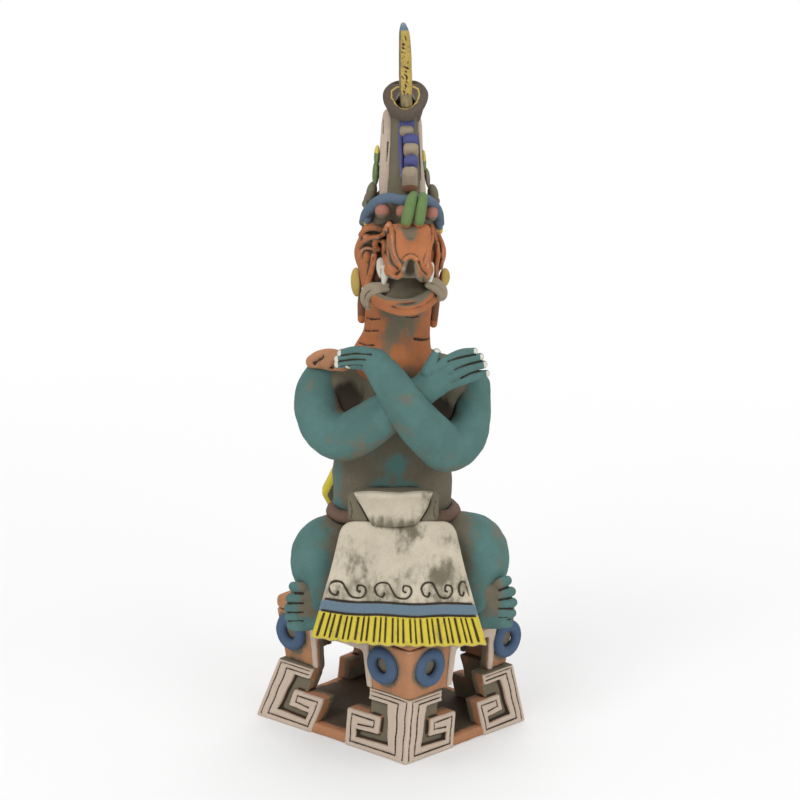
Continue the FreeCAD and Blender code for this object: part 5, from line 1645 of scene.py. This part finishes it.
def build_trim():
    for node, (lines, material, slot) in TRIM_ROWS.items():
        clay = fitted([form for rows in lines for form in rolled(rows)], TRIM_VOXEL)
        ended = lines[1:] if material == "band" else lines
        ends = [at_depth(rows[-1][:2], rows[-1][2]) for rows in ended]

        def paint(places, normals, tips=ends):
            return dict(slip_and_shade=mark_gap(places, tips, TIP_REACH))

        mould(f"{node}_clay", clay, [node], slot, material, paint if material in TIPPED else None, 0.15)
    for bead, (pixel, depth, radius) in BEADS.items():
        centre = at_depth(pixel, depth)
        clay = fitted([blob(centre, (radius, radius, radius * BEAD_HEIGHT_SHARE))], BEAD_VOXEL)
        clay.add(blob(centre + BEAD_STEM_SHIFT, (radius, BEAD_STEM_DEEP, radius)), 1)

        def paint(places, normals):
            # The lower side of each bead is painted olive: painted shade.
            return dict(patch_and_shade=ramp(-normals[:, 2] - normals[:, 1] * 0.2, 0.1, 0.6))

        mould(f"bead_{bead}", clay, [f"brow_bead_{bead}"], "pink", "bead", paint, 0.12)
    for side, (pixel, depth, radii, angle) in EAR_DISCS.items():
        centre = at_depth(pixel, depth)
        clay = fitted([blob(centre, radii, turned(z=angle))], DISC_VOXEL)

        def paint(places, normals, middle=centre, sign=-1 if side == "left" else 1):
            return dict(patch_and_shade=ramp(-sign * (places[:, 0] - middle[0]), 0.6, 1.6))

        mould(f"ear_{side}", clay, [f"ear_disc_{side}"], "yellow", "ear", paint, 0.15)


# Crest and finial

LEAF_ROWS = {
    "left": [[(388, 192, -9, 4.2), (387.5, 172, -8, 4.0), (388, 150, -5, 4.0), (388.5, 128, -2, 3.6),
              (389, 115, 0, 2.9)],
             [(387, 190, -1, 3.8), (386.5, 170, 0, 3.8), (387, 146, 3, 3.6), (388, 124, 5, 3.2),
              (388.5, 114, 5, 2.6)],
             [(396.5, 190, -11, 3.2), (394.5, 183, -10, 3.4), (392, 177, -9, 3.0)]],
    "right": [[(419.5, 191, -8, 3.2), (418, 172, -6, 3.0), (416.8, 150, -3, 2.9), (416.5, 130, 0, 2.6),
               (416, 117, 2, 2.0)],
              [(419.5, 190, 0, 3.3), (418, 170, 2, 3.1), (416.8, 148, 4, 3.0), (416.5, 126, 5, 2.7),
               (416, 116, 5, 2.2)]],
}
LEAF_LINES = {
    "left": [[(383.5, 120), (382.5, 134)], [(388, 142), (386.5, 162)], [(392, 168), (389, 184)]],
    "right": [[(418, 132), (419, 155), (420, 180)]],
}
SCALES = {
    "grey": [[(406.5, 131), -11, (3.4, 2.6, 2.9)], [(411, 150), -16, (3.7, 2.8, 3.6)],
             [(409.8, 179.5), -22, (3.7, 3.2, 6.8)]],
    "blue": [[(407, 124), -9, (3.7, 2.6, 3.0)], [(411, 140), -14, (3.8, 2.8, 3.0)],
             [(411, 162), -19.3, (3.5, 3.0, 3.4)]],
}
SCALE_LEAN = 28
SCALE_ROUNDING = 2.4
SCALE_VOXEL = 0.35
SCALE_FOOT_SHARE = 1.6
SCALE_FOOT_REACH = 5.0
SCALE_EDGE_ROWS = [(400.5, 124, -10, 0.9), (400.5, 140, -12, 1.1), (401, 158, -16, 1.1), (402, 176, -20, 0.9)]
FEATHERS = {
    "left": [[(377, 156), -3, (1.5, 3.5, 5.6), 3], [(375.8, 173), -3, (1.8, 4.0, 6.4), 3],
             [(371.5, 192), -2, (2.6, 4.6, 5.2), 12], [(366.5, 200), -1, (1.4, 3.5, 4.3), 10],
             [(364.5, 204), -1, (1.2, 2.0, 1.8), 0]],
    "right": [[(424, 161), -2, (1.2, 3.5, 5.8), -3], [(427.5, 178), -2, (1.3, 4.0, 5.0), -6],
              [(433, 194), -2, (2.8, 4.4, 5.0), -8], [(437.5, 201), 0, (1.2, 2.0, 1.8), 0]],
}
CUP_ROWS = [
    (405.5, 82.8, 2, 1.2), (394.5, 85.5, 1, 1.6), (387.8, 93, -2, 1.9), (389, 103, -7, 2.1),
    (396, 111.5, -11, 2.6), (405.5, 115, -13, 3.0), (414.5, 111.5, -11, 2.6), (421.5, 103, -7, 2.1),
    (423.5, 93, -2, 1.9),
    (417, 85.5, 1, 1.6), (405.5, 82.8, 2, 1.2),
]
LINER_OUTLINE = [(397, 87), (391.5, 91), (391.5, 98), (396, 104.5), (402, 108), (406, 108.5), (411, 107),
                 (417, 102), (419.5, 95), (418, 89), (413, 86.5)]
CUP_INNER_ROWS = [(405.5, 92, 0, 6.4), (405.5, 100, -5, 5.4), (405.5, 105.5, -9, 3.4)]
CUP_STEM_ROWS = [(405.5, 100, -1, 9.6), (405.5, 110, -2, 8.0), (405.5, 120, -2, 6.4)]
PLUME_ROWS = [(406.5, 103, -7, 2.9), (405.8, 88, -5, 3.1), (405.3, 70, -3, 3.1), (405, 50, -1, 3.0),
              (404.2, 34, 1, 2.5), (403.3, 26, 2, 1.3)]
PLUME_LINES = [
    [(401, 52), (405, 53), (410, 51.5)], [(402, 58), (404, 64), (409, 62)], [(402, 68), (408, 74)],
    [(401, 76), (405, 80), (409, 84)], [(404, 56), (406, 72)], [(409, 64), (407, 70)],
    [(401.5, 40), (403, 48)], [(405, 36), (408, 44)], [(402, 88), (405, 96)], [(407, 76), (405, 90)],
    [(403, 44), (409, 47)], [(402.5, 48), (407, 50)], [(403, 66), (409, 69)], [(403, 72), (408, 79)],
    [(402.5, 82), (407, 87)], [(403, 91), (408, 94)],
]


LEAF_VOXEL = 0.45
LEAF_LINE_WIDTH = 0.9


def build_leaf(side):
    lines = LEAF_ROWS[side]
    clay = fitted([form for rows in lines for form in rolled(rows, 4)], LEAF_VOXEL)
    inward = 1 if side == "left" else -1
    for pixels in LEAF_LINES[side]:
        groove(clay, pixels, [clay], LEAF_LINE_WIDTH)

    def paint(places, normals):
        # The walls of the leaf that face inwards, towards the core, are painted olive: painted shade.
        return dict(patch_and_shade=ramp(normals[:, 0] * inward, 0.4, 0.8) * 0.9)

    mould(f"leaf_{side}", clay, [f"crest_leaf_{side}"], "cream", "bone", paint, 0.3)


CORE_BLOCK = ((-6, -24, 264), (20, 14, 324))
CORE_VOXEL = 0.8
CORE_FRONT_ROWS = [(6.5, -11, 276, 8.2), (6.8, -9, 289, 7.6), (7.0, -5.5, 302, 7.0), (7.3, -2, 316, 6.4)]
CORE_BACK_ROWS = [(6.5, 4, 276, 8.5), (6.8, 5, 292, 7.5), (7.2, 5, 312, 5.5)]
CORE_BLEND = 2


def build_core():
    core = Clay(*CORE_BLOCK, CORE_VOXEL)
    core.add(rope(CORE_FRONT_ROWS), 0)
    core.add(rope(CORE_BACK_ROWS), CORE_BLEND)

    def paint(places, normals):
        return dict(slip_and_shade=ramp(places[:, 1], 4, 8) * 0.9)

    mould("core_clay", core, ["crest_core"], "brown", "core", paint, 0.3)


def build_scales():
    for colour, material in (("grey", "grey"), ("blue", "violet")):
        forms = []
        for pixel, depth, radii in SCALES[colour]:
            forms.append(block(at_depth(pixel, depth), radii, SCALE_ROUNDING, turned(x=SCALE_LEAN)))
        if colour == "blue":
            forms += rolled(SCALE_EDGE_ROWS)
        clay = fitted(forms, SCALE_VOXEL)
        pixel, depth, radii = SCALES[colour][-1]
        lowest = at_depth((pixel[0], pixel[1] + radii[2] * SCALE_FOOT_SHARE), depth)

        def paint(places, normals, foot=lowest, name=colour):
            return dict(slip_and_shade=mark_gap(places, [foot], SCALE_FOOT_REACH) * (name == "grey"))

        slot = "violet" if colour == "blue" else "grey"
        mould(f"scales_{colour}", clay, [f"crest_scales_{colour}"], slot, material, paint, 0.15)


FEATHER_VOXEL = 0.4
FEATHER_BANDS = {"left": ((294, 297), (-284, -279)), "right": ((290, 293), (-290, -284))}


def build_feathers(side):
    forms = []
    for pixel, depth, radii, lean in FEATHERS[side]:
        forms.append(blob(at_depth(pixel, depth), radii, turned(y=lean)))
    clay = fitted(forms, FEATHER_VOXEL)
    tips, roots = FEATHER_BANDS[side]

    def paint(places, normals):
        return dict(slip_and_shade=ramp(places[:, 2], *tips), patch_and_shade=ramp(-places[:, 2], *roots))

    mould(f"feathers_{side}", clay, [f"side_feathers_{side}"], "green", "feather", paint, 0.2)


CUP_VOXEL = 0.5
RIM_BLEND, CUP_INNER_BLEND, RIM_EDGE_BLEND = 1.5, 1.2, 0.8
PLUME_BLOCK = ((-4, -18, 312), (20, 14, 364))
PLUME_VOXEL = 0.4
PLUME_SHIFTS = (-2.2, 0.0, 2.2)
PLUME_BLEND = 0.6
PLUME_LINE_WIDTH = 0.8


def build_finial():
    rim = rolled(CUP_ROWS)
    cup = room_for(rim + rolled(CUP_STEM_ROWS), CUP_VOXEL)
    cup.add(rolled(CUP_STEM_ROWS), 0)
    cup.add(rim, RIM_BLEND)
    cup.cut(rolled(CUP_INNER_ROWS), CUP_INNER_BLEND)
    cup.add(rim, RIM_EDGE_BLEND)

    def paint_cup(places, normals):
        across, down = in_picture(places)
        inside = outline_gap(across, down, LINER_OUTLINE)
        # The liner is painted along its outline; the sides facing right and back are painted olive: painted
        # shade.
        return dict(slip_and_shade=ramp(-np.abs(inside), -1.3, -0.4) * ramp(-normals[:, 1], -0.6, 0.2) * 0.8,
                    patch_and_shade=ramp(normals[:, 0] - normals[:, 1], 0.2, 1.2) * 0.35)

    mould("cup_clay", cup, ["finial_cup"], "brown", "cup", paint_cup, 0.3)
    plume = Clay(*PLUME_BLOCK, PLUME_VOXEL)
    places, radii = track(PLUME_ROWS)
    for shift in PLUME_SHIFTS:
        plume.add(roll([place + (0, shift, 0) for place in places], radii), PLUME_BLEND)
    for pixels in PLUME_LINES:
        groove(plume, pixels, [plume], PLUME_LINE_WIDTH)

    def paint_plume(places, normals):
        across, down = in_picture(places)
        tip = ramp(-down, -32, -29)
        foot = ramp(down, 90, 96) * 0.9
        edge = ramp(-across, -401.8, -400.4) * 0.9
        mottled = ramp(value_noise(places, 3.0, 21), -0.2, 0.7) * 0.6
        return dict(slip_and_shade=tip, patch_and_shade=np.maximum.reduce([edge, foot, mottled]))

    mould("plume_clay", plume, ["finial_plume"], "yellow", "plume", paint_plume, 0.2)


def build_figure():
    build_torso()
    build_belt()
    build_pouch()
    build_pad()
    build_arm("left", ARM_LEFT_ROWS, FINGERS_LEFT_ROWS, PALM_LEFT, WRIST_LEFT_ROWS, THUMB_LEFT_ROWS)
    build_arm("right", ARM_RIGHT_ROWS, FINGERS_RIGHT_ROWS, PALM_RIGHT, WRIST_RIGHT_ROWS, None)
    for side in ("left", "right"):
        build_leg(side)
    build_apron()
    build_flap()
    build_head()
    build_trim()
    for side in ("left", "right"):
        build_leaf(side)
        build_feathers(side)
    build_core()
    build_scales()
    build_finial()


# Meshes, masks and scene

# Fullness of the clay: in a piece's own lines it gives the dark washed lines and the rubbed edges, between
# pieces it gives painted shade, and in wide hollows painted shade as well.
LINE_REACH, LINE_GAIN = 1.1, 7.0
SEAM_SHADE_REACH, SEAM_SHADE_GAIN = 2.6, 3.2
CAVITY_SHADE_REACH, CAVITY_SHADE_GAIN = 6.5, 3.4
EDGE_GAIN = 5.0
WHOLE_VOXEL = 1.2
LINE_LEVEL, SEAM_SHADE_LEVEL, CAVITY_SHADE_LEVEL, EDGE_LEVEL = 0.5, 0.56, 0.5, 0.47
LUMPS = [(9, 1, 0.7), (3.5, 2, 0.3)]
MASKS = ("wash_and_shade", "cavity_shade", "edge", "patch_and_shade", "slip_and_shade", "tint")


def join_all(boxes):
    """All pieces as one coarse block of clay."""
    low = np.min([box[0] for box in boxes.values()], axis=0)
    high = np.max([box[1] for box in boxes.values()], axis=0)
    whole = Clay(low, high, WHOLE_VOXEL)
    for piece in PIECES:
        first, last, grid = whole.window(*boxes[piece["name"]])
        spans = tuple(slice(a, b) for a, b in zip(first, last))
        places = np.column_stack([line.ravel() for line in np.broadcast_arrays(*grid)])
        part = piece["clay"].sample(places).reshape(tuple(last - first))
        whole.field[spans] = np.minimum(whole.field[spans], part)
    return whole


def masks_of(piece, places, normals, whole):
    """Masks that the materials read: washed lines with painted shade in the seams between pieces, painted
    shade in wide hollows, rubbed edges, and the paint of each piece, which on some pieces holds painted
    shade.
    """
    line = piece["clay"].sample(places, piece["clay"].fullness(LINE_REACH), 0.0)
    seam_shade = whole["clay"].sample(places, whole["seam_shade"], 0.0)
    cavity_shade = whole["clay"].sample(places, whole["cavity_shade"], 0.0)
    wash_and_shade = np.clip((line - LINE_LEVEL) * LINE_GAIN, 0, 1) + np.clip((seam_shade - SEAM_SHADE_LEVEL) * SEAM_SHADE_GAIN, 0, 1)
    masks = dict(wash_and_shade=wash_and_shade, cavity_shade=np.clip((cavity_shade - CAVITY_SHADE_LEVEL) * CAVITY_SHADE_GAIN, 0, 1),
                 edge=np.clip((EDGE_LEVEL - line) * EDGE_GAIN, 0, 1))
    if piece["paint"]:
        masks.update(piece["paint"](places, normals))
    return masks


def world_box(clay):
    corners = np.array([clay.low + clay.voxel * clay.count * corner for corner in np.ndindex(2, 2, 2)])
    spread = clay.outward(corners)
    return spread.min(axis=0) - MARGIN, spread.max(axis=0) + MARGIN


def put_mesh(piece, whole):
    clay = piece["clay"]
    places, quads = skin(clay)
    mesh = bpy.data.meshes.new(piece["name"])
    mesh.vertices.add(len(places))
    mesh.loops.add(len(quads) * 4)
    mesh.polygons.add(len(quads))
    mesh.vertices.foreach_set("co", (places * METRES).ravel())
    mesh.loops.foreach_set("vertex_index", quads.ravel())
    mesh.polygons.foreach_set("loop_start", np.arange(len(quads)) * 4)
    mesh.update(calc_edges=True)
    mesh.validate()
    normals = np.empty(len(places) * 3)
    mesh.vertices.foreach_get("normal", normals)
    normals = normals.reshape(-1, 3)
    masks = masks_of(piece, places, normals, whole)
    for name in MASKS:
        layer = mesh.attributes.new(name, "FLOAT", "POINT")
        layer.data.foreach_set("value", masks.get(name, np.zeros(len(places))).astype(np.float32))
    lumps = sum(value_noise(places, size, seed) * share for size, seed, share in LUMPS)
    moved = places + normals * (piece["uneven"] * lumps)[:, None]
    mesh.vertices.foreach_set("co", (moved * METRES).ravel())
    mesh.polygons.foreach_set("use_smooth", np.ones(len(quads), bool))
    mesh.update()
    thing = bpy.data.objects.new(piece["name"], mesh)
    bpy.context.scene.collection.objects.link(thing)
    mesh.materials.append(MATERIALS[piece["material"]])
    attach(thing, "root")
    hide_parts(*piece["nodes"])
    return len(quads) * 2


def build_camera():
    data = bpy.data.cameras.new("camera")
    data.lens = LENS
    data.sensor_width = SENSOR_WIDTH
    data.clip_start, data.clip_end = CLIP_NEAR, CLIP_FAR
    camera = bpy.data.objects.new("camera", data)
    camera.location = camera_place() * METRES
    camera.rotation_euler = (math.pi / 2 - CAMERA_RISE, 0, 0)
    bpy.context.scene.collection.objects.link(camera)
    bpy.context.scene.camera = camera


# Lamps are rows of name, place and size in metres, and power in watts
LAMPS = [
    ("key", (-0.9, -1.3, 1.5), 1.1, 15.0), ("fill", (1.2, -1.2, 0.9), 1.4, 9.0),
    ("top", (0.1, 0.3, 1.7), 1.2, 9.0), ("back", (0.2, 1.5, 0.8), 1.4, 7.0),
]
LAMPS_AIM = (0, 0, 0.15)
SENSOR_WIDTH = 36.0
CLIP_NEAR, CLIP_FAR = 0.05, 50.0
WORLD_LIGHT = 0.52
FLOOR_HALF = 12.0
FLOOR_WHITE = 0.85
FLOOR_GLOW = 0.2
FLOOR_FADE = (0.22, 0.75)


def build_lights():
    for name, place, size, power in LAMPS:
        data = bpy.data.lights.new(name, "AREA")
        data.size = size
        data.energy = power
        lamp = bpy.data.objects.new(name, data)
        lamp.location = place
        way = np.array(place) - LAMPS_AIM
        flat = math.hypot(way[0], way[1])
        lamp.rotation_euler = (math.atan2(flat, way[2]), 0, math.atan2(way[1], way[0]) + math.pi / 2)
        bpy.context.scene.collection.objects.link(lamp)
    world = bpy.data.worlds.new("studio")
    bpy.context.scene.world = world
    world.use_nodes = True
    tree = world.node_tree
    light = tree.nodes["Background"]
    light.inputs["Strength"].default_value = WORLD_LIGHT
    light.inputs["Color"].default_value = (1, 1, 1, 1)
    white = tree.nodes.new("ShaderNodeBackground")
    white.inputs["Color"].default_value = (1, 1, 1, 1)
    seen = tree.nodes.new("ShaderNodeLightPath")
    mix = tree.nodes.new("ShaderNodeMixShader")
    tree.links.new(seen.outputs["Is Camera Ray"], mix.inputs[0])
    tree.links.new(light.outputs[0], mix.inputs[1])
    tree.links.new(white.outputs[0], mix.inputs[2])
    tree.links.new(mix.outputs[0], tree.nodes["World Output"].inputs["Surface"])


def build_floor():
    mesh = bpy.data.meshes.new("floor")
    corners = [(-FLOOR_HALF, -FLOOR_HALF, 0), (FLOOR_HALF, -FLOOR_HALF, 0), (FLOOR_HALF, FLOOR_HALF, 0),
               (-FLOOR_HALF, FLOOR_HALF, 0)]
    mesh.from_pydata(corners, [], [(0, 1, 2, 3)])
    floor = bpy.data.objects.new("floor", mesh)
    bpy.context.scene.collection.objects.link(floor)
    material = bpy.data.materials.new("floor_paper")
    material.use_nodes = True
    tree = material.node_tree
    tree.nodes.remove(tree.nodes["Principled BSDF"])
    paper = tree.nodes.new("ShaderNodeBsdfDiffuse")
    paper.inputs["Color"].default_value = (FLOOR_WHITE, FLOOR_WHITE, FLOOR_WHITE, 1)
    glow = tree.nodes.new("ShaderNodeEmission")
    seen = tree.nodes.new("ShaderNodeLightPath")
    place = tree.nodes.new("ShaderNodeNewGeometry")
    away = tree.nodes.new("ShaderNodeVectorMath")
    away.operation = "LENGTH"
    fade = tree.nodes.new("ShaderNodeMapRange")
    fade.inputs["From Min"].default_value, fade.inputs["From Max"].default_value = FLOOR_FADE
    fade.inputs["To Min"].default_value = FLOOR_GLOW
    share = tree.nodes.new("ShaderNodeMath")
    share.operation = "MULTIPLY"
    tree.links.new(place.outputs["Position"], away.inputs[0])
    tree.links.new(away.outputs["Value"], fade.inputs["Value"])
    tree.links.new(fade.outputs["Result"], share.inputs[1])
    mix = tree.nodes.new("ShaderNodeMixShader")
    tree.links.new(seen.outputs["Is Camera Ray"], share.inputs[0])
    tree.links.new(share.outputs[0], mix.inputs[0])
    tree.links.new(paper.outputs[0], mix.inputs[1])
    tree.links.new(glow.outputs[0], mix.inputs[2])
    tree.links.new(mix.outputs[0], tree.nodes["Material Output"].inputs["Surface"])
    mesh.materials.append(material)


def build_model():
    build_base()
    build_figure()
    boxes = {piece["name"]: world_box(piece["clay"]) for piece in PIECES}
    clay = join_all(boxes)
    # Fullness of all the clay together, for painted shade where pieces meet and in wide hollows.
    whole = dict(clay=clay, seam_shade=clay.fullness(SEAM_SHADE_REACH), cavity_shade=clay.fullness(CAVITY_SHADE_REACH))
    counts = {piece["name"]: put_mesh(piece, whole) for piece in PIECES}
    print("triangles", sum(counts.values()), max(counts.items(), key=lambda item: item[1]))


build_camera()
build_lights()
build_floor()
build_model()
bpy.context.scene.view_settings.view_transform = "Standard"
bpy.context.view_layer.update()
